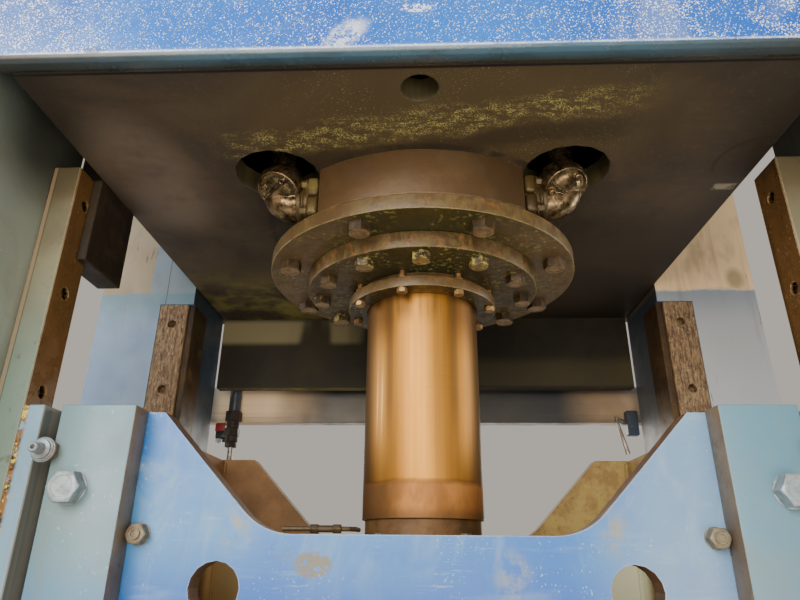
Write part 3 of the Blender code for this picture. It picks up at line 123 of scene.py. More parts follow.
class Graph:
    """A node material whose pattern is fixed to the press in metres."""

    def __init__(self, name, roughness=0.5, metallic=0.0):
        self.material = bpy.data.materials.new(name)
        self.material.use_nodes = True
        self.tree = self.material.node_tree
        self.shader = self.tree.nodes["Principled BSDF"]
        self.shader.inputs["Roughness"].default_value = roughness
        self.shader.inputs["Metallic"].default_value = metallic
        self.place = self.add("ShaderNodeTexCoord").outputs["Object"]
        self.geometry = self.add("ShaderNodeNewGeometry")
        self.rounded = self.add("ShaderNodeBevel", samples=2)

    def add(self, kind, **settings):
        node = self.tree.nodes.new(kind)
        for key, value in settings.items():
            setattr(node, key, value)
        return node

    def put(self, socket, value):
        """Sets a number or a colour, or links an output. Three numbers are a shade from 0 to 255."""
        if isinstance(value, Value):
            value = value.socket
        if hasattr(value, "is_output"):
            self.tree.links.new(value, socket)
        elif isinstance(value, tuple) and len(value) == 3:
            socket.default_value = rgb(*value)
        else:
            socket.default_value = value

    def noise(self, scale, rough=0.7, stretch=(1, 1, 1), shift=0.0, detail=3.5, warp=0.0):
        where = self.add("ShaderNodeMapping")
        self.put(where.inputs["Vector"], self.place)
        where.inputs["Scale"].default_value = stretch
        where.inputs["Location"].default_value = (shift, shift * 2, shift * 3)
        node = self.add("ShaderNodeTexNoise")
        self.put(node.inputs["Vector"], where.outputs["Vector"])
        for name, value in zip(("Scale", "Detail", "Roughness", "Distortion"), (scale, detail, rough, warp)):
            node.inputs[name].default_value = value
        return Value(self, node.outputs["Fac"])

    def grain(self, low, high, scale, rough=0.7, top=1.0, out=None, **more):
        """Noise with its values from low to high spread over 0 to top, or over out."""
        return self.noise(scale, rough, **more).ramp(low, high, *(out or (0.0, top)))

    def maths(self, operation, first, second=0.0):
        node = self.add("ShaderNodeMath", operation=operation)
        self.put(node.inputs[0], first)
        self.put(node.inputs[1], second)
        return Value(self, node.outputs[0])

    def most(self, first, *others):
        for other in others:
            first = self.maths("MAXIMUM", first, other)
        return first

    def mix(self, share, first, second):
        node = self.add("ShaderNodeMix", data_type="RGBA")
        self.put(node.inputs["Factor"], share)
        self.put(node.inputs[6], first)
        self.put(node.inputs[7], second)
        return Value(self, node.outputs[2])

    def over(self, colour, *rows):
        """Lays shades over a colour. Each row holds a share and a shade."""
        for share, shade in rows:
            colour = self.mix(share, colour, shade)
        return colour

    def axis(self, index, source=None):
        node = self.add("ShaderNodeSeparateXYZ")
        self.put(node.inputs[0], source or self.place)
        return Value(self, node.outputs[index])

    def axes(self):
        return [self.axis(index) for index in range(3)]

    def facing(self, index):
        return self.axis(index, self.geometry.outputs["Normal"])

    def spot(self, first, second, centre, reach):
        """0 at the centre of an ellipse, 1 on its rim."""
        a = self.maths("DIVIDE", first - centre[0], reach[0])
        b = self.maths("DIVIDE", second - centre[1], reach[1])
        return self.maths("SQRT", a * a + b * b)

    def edge(self, low=0.02, high=0.14):
        """1 on sharp edges, 0 on flat faces."""
        dot = self.add("ShaderNodeVectorMath", operation="DOT_PRODUCT")
        self.put(dot.inputs[0], self.rounded.outputs["Normal"])
        self.put(dot.inputs[1], self.geometry.outputs["Normal"])
        return self.maths("SUBTRACT", 1.0, dot.outputs["Value"]).ramp(low, high)

    def finish(self, colour, roughness=None, metallic=None, height=None, strength=0.3, distance=0.001,
            soft=0.0025):
        """Links the shader's inputs. soft is the radius of rounded edges."""
        self.put(self.shader.inputs["Base Color"], colour)
        if roughness is not None:
            self.put(self.shader.inputs["Roughness"], roughness)
        if metallic is not None:
            self.put(self.shader.inputs["Metallic"], metallic)
        self.put(self.rounded.inputs["Radius"], soft)
        normal = self.rounded.outputs["Normal"]
        if height is not None:
            bump = self.add("ShaderNodeBump")
            self.put(bump.inputs["Strength"], strength)
            self.put(bump.inputs["Distance"], distance)
            self.put(bump.inputs["Height"], height)
            self.put(bump.inputs["Normal"], normal)
            normal = bump.outputs["Normal"]
        self.put(self.shader.inputs["Normal"], normal)
        return self.material


def worn_paint(name, base, second, dirt, chip, bare, amount, rough, streak, wear, tint=None, crust=None,
        inner=None):
    """Machine paint with uneven tone, grime runs, small chips and rubbed edges.

    tint is a second shade below a height, crust the reach of scale on the sides, and inner
    the shades of the faces turned to the middle of the press. These faces also get a painted
    shadow high up under the crown and painted light high up near the front.
    """
    g = Graph(name)
    tone = g.grain(0.35, 0.68, 2.2, 0.55)
    colour = g.mix(tone, base, second)
    mottle = g.grain(0.42, 0.75, 38, top=0.35)
    turned = (g.facing(0) * g.axis(0)).ramp(-0.3, -0.5)
    colour = g.mix(mottle, colour, second)
    if inner is not None:
        # corner is painted shadow under the crown and front is painted light near the front, both on the
        # inner faces
        corner = turned * g.axis(2).ramp(2.27, 2.42) * g.axis(1).ramp(-0.54, -0.38)
        front = turned * g.axis(2).ramp(2.1, 2.34) * g.axis(1).ramp(-0.5, -0.58)
        colour = g.mix(turned, colour, g.mix(tone, *inner))
    if tint is not None:
        low, high, share, shade = tint
        tinted = (g.axis(2) + g.noise(5, 0.6) * 0.12).ramp(low, high) * share
        colour = g.mix(tinted if inner is None else tinted * turned, colour, shade)
    runs = g.grain(0.5, 0.78, 1, 0.65, top=streak, stretch=(26, 26, 1.6))
    clouds = g.grain(0.48, 0.74, 4.5, top=amount, shift=3.1, warp=0.8)
    grime = g.most(runs, clouds)
    where = g.grain(0.52, 0.66, 6.5, 0.6, shift=7.7, detail=3)
    specks = g.grain(0.64, 0.69, 120, 0.5, shift=1.3, detail=3) * where
    scars = g.grain(0.7, 0.73, 30, 0.75, stretch=(1, 1, 0.35), shift=5, warp=1.2) * where
    rub = g.edge() * g.grain(0.36, 0.6, 24, out=(0.15, 1), shift=2) * wear
    colour = g.over(colour,
        (grime, dirt),
        (specks, chip),
        (scars, bare),
        (rub, chip))
    if crust is not None:
        scale = g.mix(g.grain(0.42, 0.5, 60, shift=4), (44, 34, 24), (134, 92, 48))
        where_crust = abs(g.axis(0)).ramp(crust[0], crust[1]) * g.grain(0.34, 0.46, 70)
        scale = g.mix(g.grain(0.54, 0.6, 48, shift=9), scale, (206, 190, 84))
        grime = g.mix(g.grain(0.4, 0.62, 1, stretch=(60, 60, 2.2), shift=6), (98, 106, 98), (136, 128, 112))
        colour = g.over(colour,
            (where_crust, scale),
            (turned * 0.85, grime))
    roughness = (g.noise(14, 0.65) + grime * 0.5).ramp(0.35, 1, rough, rough + 0.3)
    if inner is not None:
        # Painted shadow in the corner under the crown, then painted light near the front.
        colour = g.over(colour,
            (corner * 0.8, (36, 32, 25)),
            (front * 0.75, (226, 229, 220)))
    return g.finish(colour, roughness, None, g.noise(60, 0.65, detail=3), 0.22, 0.0006)


def oily_iron(name, base, second, crust, crust_amount, rough, pits, metal, rubbed=0.8):
    """Dark iron or old paint under an oil film, with a crust of dried grime."""
    g = Graph(name)
    colour = g.mix(g.grain(0.35, 0.68, 5, 0.65), base, second)
    film = g.grain(0.48, 0.66, 9, 0.72, shift=4) * crust_amount
    grains = g.grain(0.5, 0.62, 170, 0.6, shift=6, detail=3) * film
    holes = g.grain(0.56, 0.66, 75, 0.8, shift=8) * pits
    rub = g.edge() * g.grain(0.4, 0.62, 30, out=(0.1, 1)) * rubbed
    roughness = (g.noise(20) + g.most(film, holes)).ramp(0.35, 1.1, rough, rough + 0.35)
    colour = g.over(colour,
        (g.grain(0.5, 0.75, 45, 0.75, top=0.5, shift=2), second),
        (g.most(grains, film * 0.45), crust),
        (holes, (24, 17, 11)),
        (rub, (176, 158, 120)))
    return g.finish(colour, roughness, metal, g.noise(80, detail=3), 0.4, 0.0012)


def crown_material():
    """Glossy blue outside, brown oily grime below, olive on the apron, with painted shade, highlights and
    reflections.
    """
    g = Graph("crown_paint")
    x, y, z = g.axes()
    side = abs(x)
    blue = g.mix(g.grain(0.35, 0.65, 3, 0.5), (14, 84, 182), (32, 106, 200))
    dust = g.grain(0.5, 0.64, 2.6, 0.75, shift=9, warp=1.6) * g.most(x.ramp(-0.1, -0.6), x.ramp(0.1, 0.5))
    density = g.most(x.ramp(-0.46, -0.6), x.band(-0.25, -0.1, 0.03) * 0.35, x.ramp(0.06, 0.34) * 0.7)
    cluster = g.grain(0.38, 0.62, 12, 0.75, shift=4, warp=0.8)
    level = g.noise(430, 0.5, shift=2, detail=2) + density * cluster * 0.1
    glints = level.ramp(0.635, 0.675)
    slant = x - (z - 2.47) * 0.6
    cloud = (g.spot(slant, z, (-0.112, 2.462), (0.032, 0.034)).ramp(1.2, 0.4)
        * g.grain(0.38, 0.56, 70, 0.8, warp=0.8))
    worms = g.spot(x, z, (-0.004, 2.513), (0.032, 0.011)).ramp(1.1, 0.5) * g.grain(0.5, 0.56, 110, warp=2)
    glints = g.most(glints, cloud * 0.62, worms)
    # rim is a painted highlight: a thin bright line along the face plate's lower edge.
    rim = z.band(UNDERSIDE + 0.0045, UNDERSIDE + 0.0068, 0.0012) * g.grain(0.35, 0.6, 40, out=(0.35, 1))
    blobs = g.grain(0.6, 0.64, 24, 0.5, shift=1, detail=3) * z.ramp(2.452, 2.436)
    # slate colours the face plate's downward strip as painted shade: a darker slate blue than the face.
    slate = g.mix(y.ramp(-0.606, -0.592), (66, 96, 116), (60, 72, 74))
    brown = g.mix(g.grain(0.34, 0.68, 2.6, 0.6, shift=1, warp=0.8), (52, 44, 36), (76, 64, 50))
    centre = g.spot(x, y, (0.05, -0.45), (0.52, 0.22)).ramp(1.1, 0.5) * 0.7
    # dark is painted shade: the underside darkens near the left front corner and along the right end, beside
    # the posts.
    dark = g.most(x.ramp(-0.54, -0.69) * y.ramp(-0.32, -0.46),
        x.ramp(0.56, 0.7) * y.ramp(0.15, -0.35, 0.45, 1))
    sheen = (g.spot(x, y, (-0.57, -0.26), (0.12, 0.24)).ramp(1.15, 0.4)
        * g.grain(0.34, 0.56, 5, out=(0.5, 1)))
    # shade is painted shade over the right back of the underside.
    shade = x.ramp(0.1, 0.4) * y.ramp(-0.2, 0.05)
    green_side = y.ramp(0.12, 0.5) * x.ramp(0.25, -0.35) * g.grain(0.36, 0.6, 6)
    across = y + 0.433 + x * 0.175
    across = across + (g.noise(7, shift=5) - 0.5) * 0.1
    belt = across.band(-0.034, 0.034, 0.02) * x.band(-0.36, 0.36, 0.08)
    behind = across.band(0.045, 0.105, 0.02) * x.band(-0.3, 0.4, 0.08) * 0.6
    flakes = g.grain(0.5, 0.58, 420, 0.6, shift=1, detail=3)
    clumps = g.grain(0.42, 0.6, 42, 0.75, stretch=(0.6, 1.3, 1), shift=4)
    flakes = flakes * clumps * belt
    loose = (g.grain(0.66, 0.7, 380, 0.5, shift=6, detail=2) * g.grain(0.44, 0.6, 5, 0.6)
        * x.ramp(0.45, 0.3) * x.ramp(-0.3, -0.1, 0.2, 1))
    circle = g.maths("SQRT", x * x + y * y)
    halo = circle.band(0.358, 0.374, 0.005) * g.grain(0.38, 0.6, 18)
    arc = g.spot(x, y, (0.67, -0.3), (0.08, 0.08)).band(0.93, 1, 0.05) * y.ramp(-0.22, -0.3)
    wiped = x.band(0.627, 0.672, 0.004) * y.band(-0.217, -0.196, 0.005) * g.grain(0.35, 0.5, 40)
    seam = y.ramp(-0.5725, -0.5765)
    apron = g.mix(g.grain(0.38, 0.66, 7), (22, 20, 8), (38, 34, 14))
    # pale is a painted reflection: light patches high on the apron, left of the middle.
    pale = z.band(UNDERSIDE - 0.085, UNDERSIDE - 0.005, 0.012) * x.ramp(0.02, -0.04)
    pale = pale * g.grain(0.4, 0.5, 4.5, 0.5, stretch=(1, 1, 0.2), shift=8, detail=3)
    low_pale = z.ramp(UNDERSIDE - 0.12, UNDERSIDE - 0.17) * x.ramp(0.1, 0.2) * 0.25
    inside = y.ramp(-0.5805, -0.5795) * y.ramp(0.6395, 0.6385)
    low_face = y.ramp(0.6095, 0.6085, 1, 0)
    below = g.facing(2).ramp(-0.4, -0.6)
    blue = g.over(blue,
        (g.facing(1).ramp(-0.9, -0.5) * 0.6, (78, 138, 192)),
        (x.ramp(-0.44, -0.74) * 0.26, (140, 164, 210)),
        (dust * 0.3, (156, 178, 212)),
        (glints, (232, 240, 250)),
        # painted highlight along the lower edge
        (rim * 0.8, (206, 218, 228)),
        (blobs * 0.5, (60, 64, 66)))
    # Painted shade darkens the strip towards the sides; the brown towards the back is grime.
    slate = g.over(slate,
        (y.ramp(-0.594, -0.58), (62, 54, 44)),
        (side.ramp(0.25, 0.7, 0, 0.85), (48, 46, 42)),
        (g.grain(0.45, 0.7, 34, 0.75, top=0.4, stretch=(0.4, 1, 1)), (48, 56, 58)))
    colour = g.mix(z.ramp(UNDERSIDE + 0.0048, UNDERSIDE + 0.003), blue, slate)
    low_inside = inside * z.ramp(UNDERSIDE + 0.06, UNDERSIDE + 0.04)
    hanging = g.most(low_inside,
        low_face * z.ramp(UNDERSIDE - 0.001, UNDERSIDE - 0.003) * y.ramp(0.59, 0.6))
    apron = g.over(apron,
        # painted reflection high on the apron
        (pale * 0.8, (140, 134, 102)),
        (low_pale, (112, 104, 70)),
        (z.ramp(UNDERSIDE - BACK_DROP + 0.012, UNDERSIDE - BACK_DROP), (28, 30, 14)))
    brown = g.over(brown,
        (g.grain(0.5, 0.75, 1.1, top=0.4, stretch=(3, 22, 1), shift=3), (42, 35, 28)),
        (g.grain(0.52, 0.72, 70, 0.8, top=0.3, shift=2), (98, 86, 68)),
        (centre, (88, 74, 46)),
        # dark and, two rows on, shade are painted shade; sheen is a painted sheen.
        (dark * 0.75, (26, 21, 17)),
        (sheen * 0.8, (118, 104, 94)),
        (shade * 0.6, (34, 26, 17)),
        (green_side * 0.85, (136, 130, 66)),
        (behind, (44, 35, 22)),
        (g.most(flakes * 0.9, loose * 0.6), (196, 186, 112)),
        (halo * 0.8, (40, 33, 26)),
        (arc * 0.6, (30, 25, 20)),
        (wiped * 0.85, (150, 142, 124)),
        (seam, (14, 12, 10)))
    deep = inside * z.ramp(UNDERSIDE + 0.045, UNDERSIDE + 0.055) * g.facing(2).ramp(0.9, 0.5)
    holes = inside * g.facing(2).ramp(-0.5, -0.3) * z.band(UNDERSIDE + 0.001, UNDERSIDE + 0.05, 0.001)
    rub = g.edge() * g.grain(0.38, 0.62, 20, out=(0.1, 0.7)) * below.ramp(0, 1, 0.5, 0.15)
    roughness = g.mix(inside, (0.2, 0.2, 0.2, 1), (0.42, 0.42, 0.42, 1))
    roughness = roughness + g.grain(0.35, 0.8, 16, out=(-0.05, 0.2))
    roughness = g.most(roughness, hanging * 0.66)
    colour = g.over(colour,
        (hanging, apron),
        (inside * below, brown),
        (deep, (58, 60, 56)),
        (holes, (74, 68, 44)),
        (rub, (150, 150, 132)))
    return g.finish(colour, roughness, None, g.noise(150, 0.6, detail=2), 0.3, 0.0008, 0.005)


def slide_material():
    """Sky-blue slide: scuffs and runs in front, grime on the cut edge and the inner faces, painted light on
    the inner back plate.
    """
    g = Graph("slide_paint")
    x, y, z = g.axes()
    side = abs(x)
    blue = g.mix(g.grain(0.36, 0.64, 2.4, 0.6), (32, 108, 192), (70, 136, 196))
    low = z.ramp(1.74, 1.58)
    wash = (g.grain(0.48, 0.68, 9, 0.78, top=0.6, stretch=(1, 1, 0.5), shift=3, warp=0.9)
        * z.ramp(1.6, 1.8, 0.15, 1))
    scuffs = g.grain(0.55, 0.7, 3, 0.8, top=0.5, stretch=(1, 1, 6), shift=2)
    scratches = (g.grain(0.58, 0.68, 1, 0.8, stretch=(14, 14, 210), shift=6)
        * g.grain(0.46, 0.6, 5, 0.6, shift=3))
    runs = g.grain(0.56, 0.75, 1, top=0.28, stretch=(30, 30, 1.8), shift=1)
    blot = g.spot(x, z, (-0.182, 1.678), (0.036, 0.022)).ramp(1.05, 0.75) * g.grain(0.34, 0.48, 80, 0.8)
    trail = g.spot(x, z, (-0.222, 1.688), (0.036, 0.012)).ramp(1.1, 0.6) * g.grain(0.52, 0.6, 120, 0.8)
    dull = g.spot(x, z, (0.145, 1.664), (0.035, 0.045)).ramp(1.2, 0.3) * g.grain(0.36, 0.6, 30, 0.75) * 0.55
    where = g.grain(0.46, 0.62, 7, 0.6, shift=7.7, detail=3)
    chips = g.grain(0.655, 0.69, 210, 0.5, shift=1.3, detail=3) * where
    dents = g.grain(0.7, 0.72, 110, 0.75, stretch=(1, 1, 0.5), shift=5, warp=1) * where
    edge_dirt = side.band(0.3, 0.332, 0.02) * z.band(1.7, 1.76, 0.02) * g.grain(0.42, 0.6, 24, 0.75)
    groove = side.band(0.628, 0.662, 0.001) * z.ramp(1.94, 1.9, 0.8, 1)
    grime = g.mix(g.grain(0.4, 0.65, 12, stretch=(1, 1, 0.4)), (98, 90, 78), (124, 116, 102))
    # The groove's grime with a lighter bar, and painted shadow on its side next to the pad.
    grime = g.over(grime,
        (side.band(0.643, 0.648, 0.0008), (166, 166, 156)),
        (side.ramp(0.6435, 0.642) * 0.5, (52, 50, 44)))
    front = g.facing(1).ramp(-0.5, -0.8) * y.ramp(-0.26, -0.262)
    under = g.mix(g.grain(0.36, 0.64, 5), (156, 118, 78), (122, 92, 60))
    gold = g.mix(g.grain(0.38, 0.62, 16, 0.75), (166, 146, 86), (140, 115, 70))
    cut = g.mix(g.grain(0.4, 0.6, 20), (104, 76, 50), (80, 60, 42))
    thick = y.ramp(-0.2655, -0.264) * y.ramp(-0.2135, -0.2155)
    under = g.over(under,
        (x.band(-0.38, -0.1, 0.05) * 0.45, (84, 62, 38)),
        (x.ramp(-0.05, 0.25), gold),
        (g.grain(0.56, 0.7, 110, top=0.5), (92, 72, 44)))
    inner = g.mix(thick, under, cut)
    # lit is painted light on the back plate at the sides.
    lit = side.band(0.4, 0.6, 0.03) * z.band(1.55, 1.7, 0.02) * y.ramp(0.28, 0.34) * 0.85
    back = y.ramp(0.4125, 0.4145)
    blue = g.over(blue,
        (low * 0.85, (0, 80, 180)),
        (x.ramp(0.24, 0.4) * 0.5, (146, 172, 184)),
        (wash * 0.8, (134, 168, 192)),
        (scuffs * 0.32, (164, 188, 208)),
        (scratches * 0.24, (198, 218, 232)),
        (runs, (130, 150, 156)),
        (g.most(blot, trail * 0.7) * 0.9, (112, 106, 84)),
        (dull, (142, 148, 134)),
        (chips * 0.5, (196, 212, 196)),
        (dents, (112, 98, 70)),
        (edge_dirt * 0.7, (150, 144, 104)),
        (groove * 0.92, grime))
    # Painted light: a bright warm pool low on the back plate, then the lit patches.
    inner = g.over(inner,
        (z.ramp(1.52, 1.44) * y.ramp(0.3, 0.34) * 0.9,
            g.mix(x.ramp(-0.1, 0.1), (240, 196, 136), (236, 214, 110))),
        (lit, g.mix(x.ramp(-0.1, 0.1), (255, 226, 160), (226, 228, 196))))
    colour = g.mix(front, inner, blue)
    ends = (g.facing(0) * x).ramp(0.2, 0.4) * side.ramp(0.555, 0.56)
    worn = g.edge(0.01, 0.1) * y.ramp(-0.2575, -0.2625) * g.grain(0.3, 0.5, 26, out=(0.35, 1))
    worn = worn * g.facing(1).ramp(-0.1, -0.4)
    rear_edge = g.edge(0.005, 0.06) * y.ramp(-0.2, -0.15)
    roughness = (g.noise(14, 0.65) + wash * 0.5).ramp(0.35, 1, 0.34, 0.6)
    roughness = g.most(roughness, y.ramp(-0.262, -0.255) * 0.75)
    colour = g.over(colour,
        (g.most(back, ends), blue),
        (worn, (226, 230, 228)),
        (rear_edge * 0.85, (52, 38, 26)))
    return g.finish(colour, roughness, None, g.noise(60, 0.65, detail=3), 0.22, 0.0006, 0.003)


def front_way_material():
    """Front way: painted in front, brown oil film on its bearing face."""
    g = Graph("front_way_iron")
    x, y, z = g.axes()
    side = abs(x)
    oil = g.mix(g.grain(0.36, 0.64, 5, stretch=(1, 1, 0.6)), (108, 78, 44), (70, 51, 30))
    speck = (g.most(g.spot(y, z, (-0.27, 2.146), (0.03, 0.02)).ramp(1.2, 0.6),
        g.spot(y, z, (-0.27, 2.245), (0.03, 0.02)).ramp(1.2, 0.6)) * g.grain(0.56, 0.64, 220, detail=3))
    paint = g.mix(g.grain(0.38, 0.64, 6, 0.65), (126, 125, 104), (106, 103, 84))
    front = g.facing(1).ramp(-0.5, -0.8) * y.ramp(-0.3115, -0.3125)
    oil = g.over(oil,
        (g.grain(0.6, 0.68, 150, top=0.8, shift=3), (176, 146, 96)),
        (g.grain(0.5, 0.7, 1, stretch=(26, 26, 1.2)) * 0.5, (38, 29, 20)),
        (speck * 0.6, (190, 166, 124)),
        (x.ramp(-0.1, -0.3) * 0.36, (150, 112, 66)))
    paint = g.over(paint,
        (z.ramp(2.24, 1.95, 0, 0.75), (112, 142, 138)),
        (z.ramp(2.31, 2.38) * 0.7, (86, 76, 56)),
        (g.grain(0.58, 0.72, 34, 0.8, top=0.6, shift=6), (84, 72, 54)),
        (side.ramp(0.7465, 0.7485) * 0.8, (146, 128, 104)),
        (side.band(0.745, 0.747, 0.0006) * 0.7, (60, 54, 42)))
    colour = g.mix(front, oil, paint)
    # inside marks the walls of the holes in the way bar, painted near black as shade.
    inside = side.ramp(0.7035, 0.7055) * y.ramp(-0.3115, -0.31) * side.ramp(0.735, 0.73)
    rub = g.edge(0.01, 0.1) * g.grain(0.34, 0.56, 36, 0.75, out=(0.3, 1))
    roughness = front.ramp(0, 1, 0.28, 0.44) + g.grain(0.35, 0.8, 20, out=(-0.05, 0.25))
    # The hole walls painted near black as shade, then rubbed edges.
    colour = g.over(colour,
        (inside, (18, 14, 10)),
        (rub, (206, 184, 142)))
    return g.finish(colour, roughness, front.ramp(0, 1, 0.25, 0), g.noise(90, 0.75), 0.35, 0.001)


def rear_way_material():
    """Rear way: bare iron with fine upright streaks, scale and pits."""
    g = Graph("rear_way_iron")
    streaks = g.noise(1, 0.8, stretch=(150, 150, 26))
    colour = g.mix(streaks.ramp(0.36, 0.64), (84, 62, 42), (158, 132, 100))
    pits = g.grain(0.55, 0.63, 1, 0.8, stretch=(240, 240, 80), shift=8)
    height = streaks - pits
    colour = g.over(colour,
        (g.grain(0.57, 0.66, 1, 0.8, top=0.75, stretch=(210, 210, 60), shift=4), (206, 184, 146)),
        (pits * 0.85, (36, 25, 16)),
        (g.grain(0.5, 0.72, 7, top=0.5), (104, 70, 42)),
        (g.edge(0.01, 0.1) * g.grain(0.36, 0.56, 60, out=(0.3, 0.9)), (206, 178, 136)))
    return g.finish(colour, streaks.ramp(0.3, 0.8, 0.45, 0.75), 0.15, height, 0.5, 0.0016, 0.002)


def rear_post_material():
    """Rear post: tan film above, blue paint below, dark blue on the face beside the way, painted light on
    the right post.
    """
    g = Graph("rear_post_paint")
    x, z = (g.axis(0), g.axis(2))
    level = z + (g.noise(14) - 0.5) * 0.03
    blue = g.mix(g.grain(0.36, 0.64, 3, 0.6), (118, 146, 182), (136, 160, 188))
    # tan goes much brighter on the right post: painted light.
    tan = g.mix(x.ramp(-0.1, 0.1), (152, 136, 108), (255, 222, 176))
    turned = (g.facing(0) * x).ramp(-0.3, -0.5)
    blue = g.over(blue,
        # Painted light: the right post is mixed towards white.
        (x.ramp(-0.1, 0.1, 0, 0.6), (206, 206, 206)),
        (z.ramp(2.3, 2.42, 0, 0.8), g.mix(x.ramp(-0.1, 0.1), (92, 130, 142), (140, 154, 170))),
        (z.ramp(2.05, 1.8), (164, 180, 194)))
    tan = g.over(tan,
        (x.ramp(-0.8265, -0.8215) * x.ramp(-0.1, -0.3), (124, 142, 158)),
        (g.grain(0.5, 0.7, 9, top=0.4, stretch=(1, 1, 0.5)), (112, 96, 72)),
        (g.spot(x, z, (0.92, 2.45), (0.03, 0.04)).ramp(1.2, 0.4) * 0.6, (96, 96, 58)))
    colour = g.mix(level.ramp(2.41, 2.42), blue, tan)
    outside = g.mix(g.grain(0.36, 0.64, 3, 0.6), (72, 130, 186), (96, 148, 192))
    colour = g.over(colour,
        (level.band(2.412, 2.417, 0.002) * x.ramp(0, 0.1) * 0.7, (226, 214, 190)),
        (x.band(-0.7725, -0.7695, 0.0008) * 0.7, (60, 62, 60)))
    colour = g.mix(g.most(g.facing(1).ramp(-0.3, -0.6), turned), outside, colour)
    lines = g.grain(0.62, 0.68, 1, 0.75, stretch=(60, 60, 12), shift=2) * g.grain(0.46, 0.6, 4, 0.6)
    runs = g.grain(0.54, 0.78, 1, 0.65, top=0.4, stretch=(26, 26, 1.6))
    roughness = g.grain(0.35, 0.9, 14, 0.65, out=(0.4, 0.65))
    colour = g.over(colour,
        (lines * 0.7, (86, 82, 74)),
        (runs, (116, 108, 98)),
        (turned * z.ramp(2.6, 2.45, 0.4, 0.9), g.mix(g.grain(0.4, 0.66, 6), (18, 32, 46), (30, 44, 56))),
        (g.edge() * g.grain(0.36, 0.6, 24, out=(0.1, 0.6)), (176, 180, 180)))
    return g.finish(colour, roughness, None, g.noise(60, 0.6), 0.2, 0.0006)


def rail_material():
    """Rear rail: painted reflections, pale tan at its ends and slate behind the ram."""
    g = Graph("rail_paint")
    x, z = (g.axis(0), g.axis(2))
    # slate and tan are painted reflections: slate is the dark one behind the ram, tan the bright one on the
    # front and lower faces at the rail's ends.
    slate = g.mix(g.grain(0.38, 0.66, 4, 0.6), (50, 56, 64), (70, 70, 68))
    tan = g.mix(g.grain(0.38, 0.66, 5), (186, 160, 128), (160, 138, 112))
    seen = g.most(g.facing(1).ramp(-0.3, -0.6), g.facing(2).ramp(-0.3, -0.6))
    share = g.most(x.ramp(-0.3, -0.48), x.ramp(0.44, 0.6)) * seen
    # The painted reflection is brightest at the far left.
    tan = g.mix(x.ramp(-0.44, -0.53), tan, (255, 228, 190))
    colour = g.mix(share, slate, tan)
    colour = g.over(colour,
        (g.grain(0.5, 0.75, 1, 0.75, top=0.35, stretch=(2, 2, 60)), (96, 86, 74)),
        (z.ramp(UNDERSIDE - 0.3, UNDERSIDE - 0.33) * 0.4, (60, 52, 44)),
        (g.edge() * 0.2, (180, 170, 150)))
    return g.finish(colour, g.grain(0.35, 0.8, 14, 0.6, out=(0.35, 0.55)), None, g.noise(60, 0.6, detail=3),
        0.2, 0.0006)


def bolt_material():
    """Cylinder bolts: tall sides darkened as painted shade, end faces lightened as painted light, yellow
    crust here and there.
    """
    g = Graph("bolt_iron")
    # end marks the end faces, lightened as painted light; the tall sides are darkened as painted shade.
    end = g.facing(2).ramp(-0.8, -0.96)
    colour = g.mix(g.grain(0.38, 0.64, 40), (46, 38, 28), (76, 62, 44))
    face = g.mix(g.grain(0.38, 0.64, 60, 0.75), (148, 124, 92), (112, 92, 64))
    crust = g.grain(0.46, 0.6, 90, shift=3) * g.grain(0.5, 0.62, 6, 0.5, shift=5, detail=3)
    roughness = (g.noise(30) + crust).ramp(0.35, 1.1, 0.32, 0.7)
    colour = g.over(colour,
        (end, face),
        (crust, (156, 148, 78)),
        (g.edge() * 0.5, (176, 158, 120)))
    return g.finish(colour, roughness, 0.3, g.noise(120), 0.4, 0.0008, 0.0015)


def head_material(name, reach, low_face, high_face, wall, wall_crust, crust_share):
    """Cylinder ring: wall as the drum's, lower face greener towards the back and browner at the sides."""
    g = Graph(name)
    x = g.axis(0)
    flat = g.facing(2).ramp(-0.6, -0.9)
    tone = (abs(x) + g.noise(6) * 0.12).ramp(reach * 0.35, reach * 0.85)
    face = g.mix(tone, low_face, high_face)
    side = g.mix(g.grain(0.36, 0.66, 7, 0.65), wall, (84, 68, 46))
    crust = (g.grain(0.42, 0.56, 64, 0.75, stretch=(1, 1, 0.6), shift=3)
        * g.grain(0.3, 0.5, 7, 0.6, shift=2) * crust_share)
    rust = g.grain(0.54, 0.62, 48, shift=9) * crust_share
    face = g.over(face,
        (g.grain(0.46, 0.68, 26, 0.75, top=0.55), (58, 54, 30)),
        (g.grain(0.55, 0.64, 95, shift=4) * g.grain(0.42, 0.58, 9, 0.6), (132, 128, 68)))
    side = g.over(side,
        (crust, wall_crust),
        (rust * 0.7, (142, 92, 48)))
    colour = g.mix(flat, side, face)
    rub = g.edge(0.01, 0.1) * g.grain(0.34, 0.54, 26, 0.75, out=(0.15, 1))
    roughness = (g.noise(20) + crust * 0.6).ramp(0.35, 1.1, 0.32, 0.7)
    colour = g.mix(rub, colour, (186, 176, 116))
    return g.finish(colour, roughness, None, g.noise(80, 0.75, detail=3), 0.45, 0.0012, 0.002)


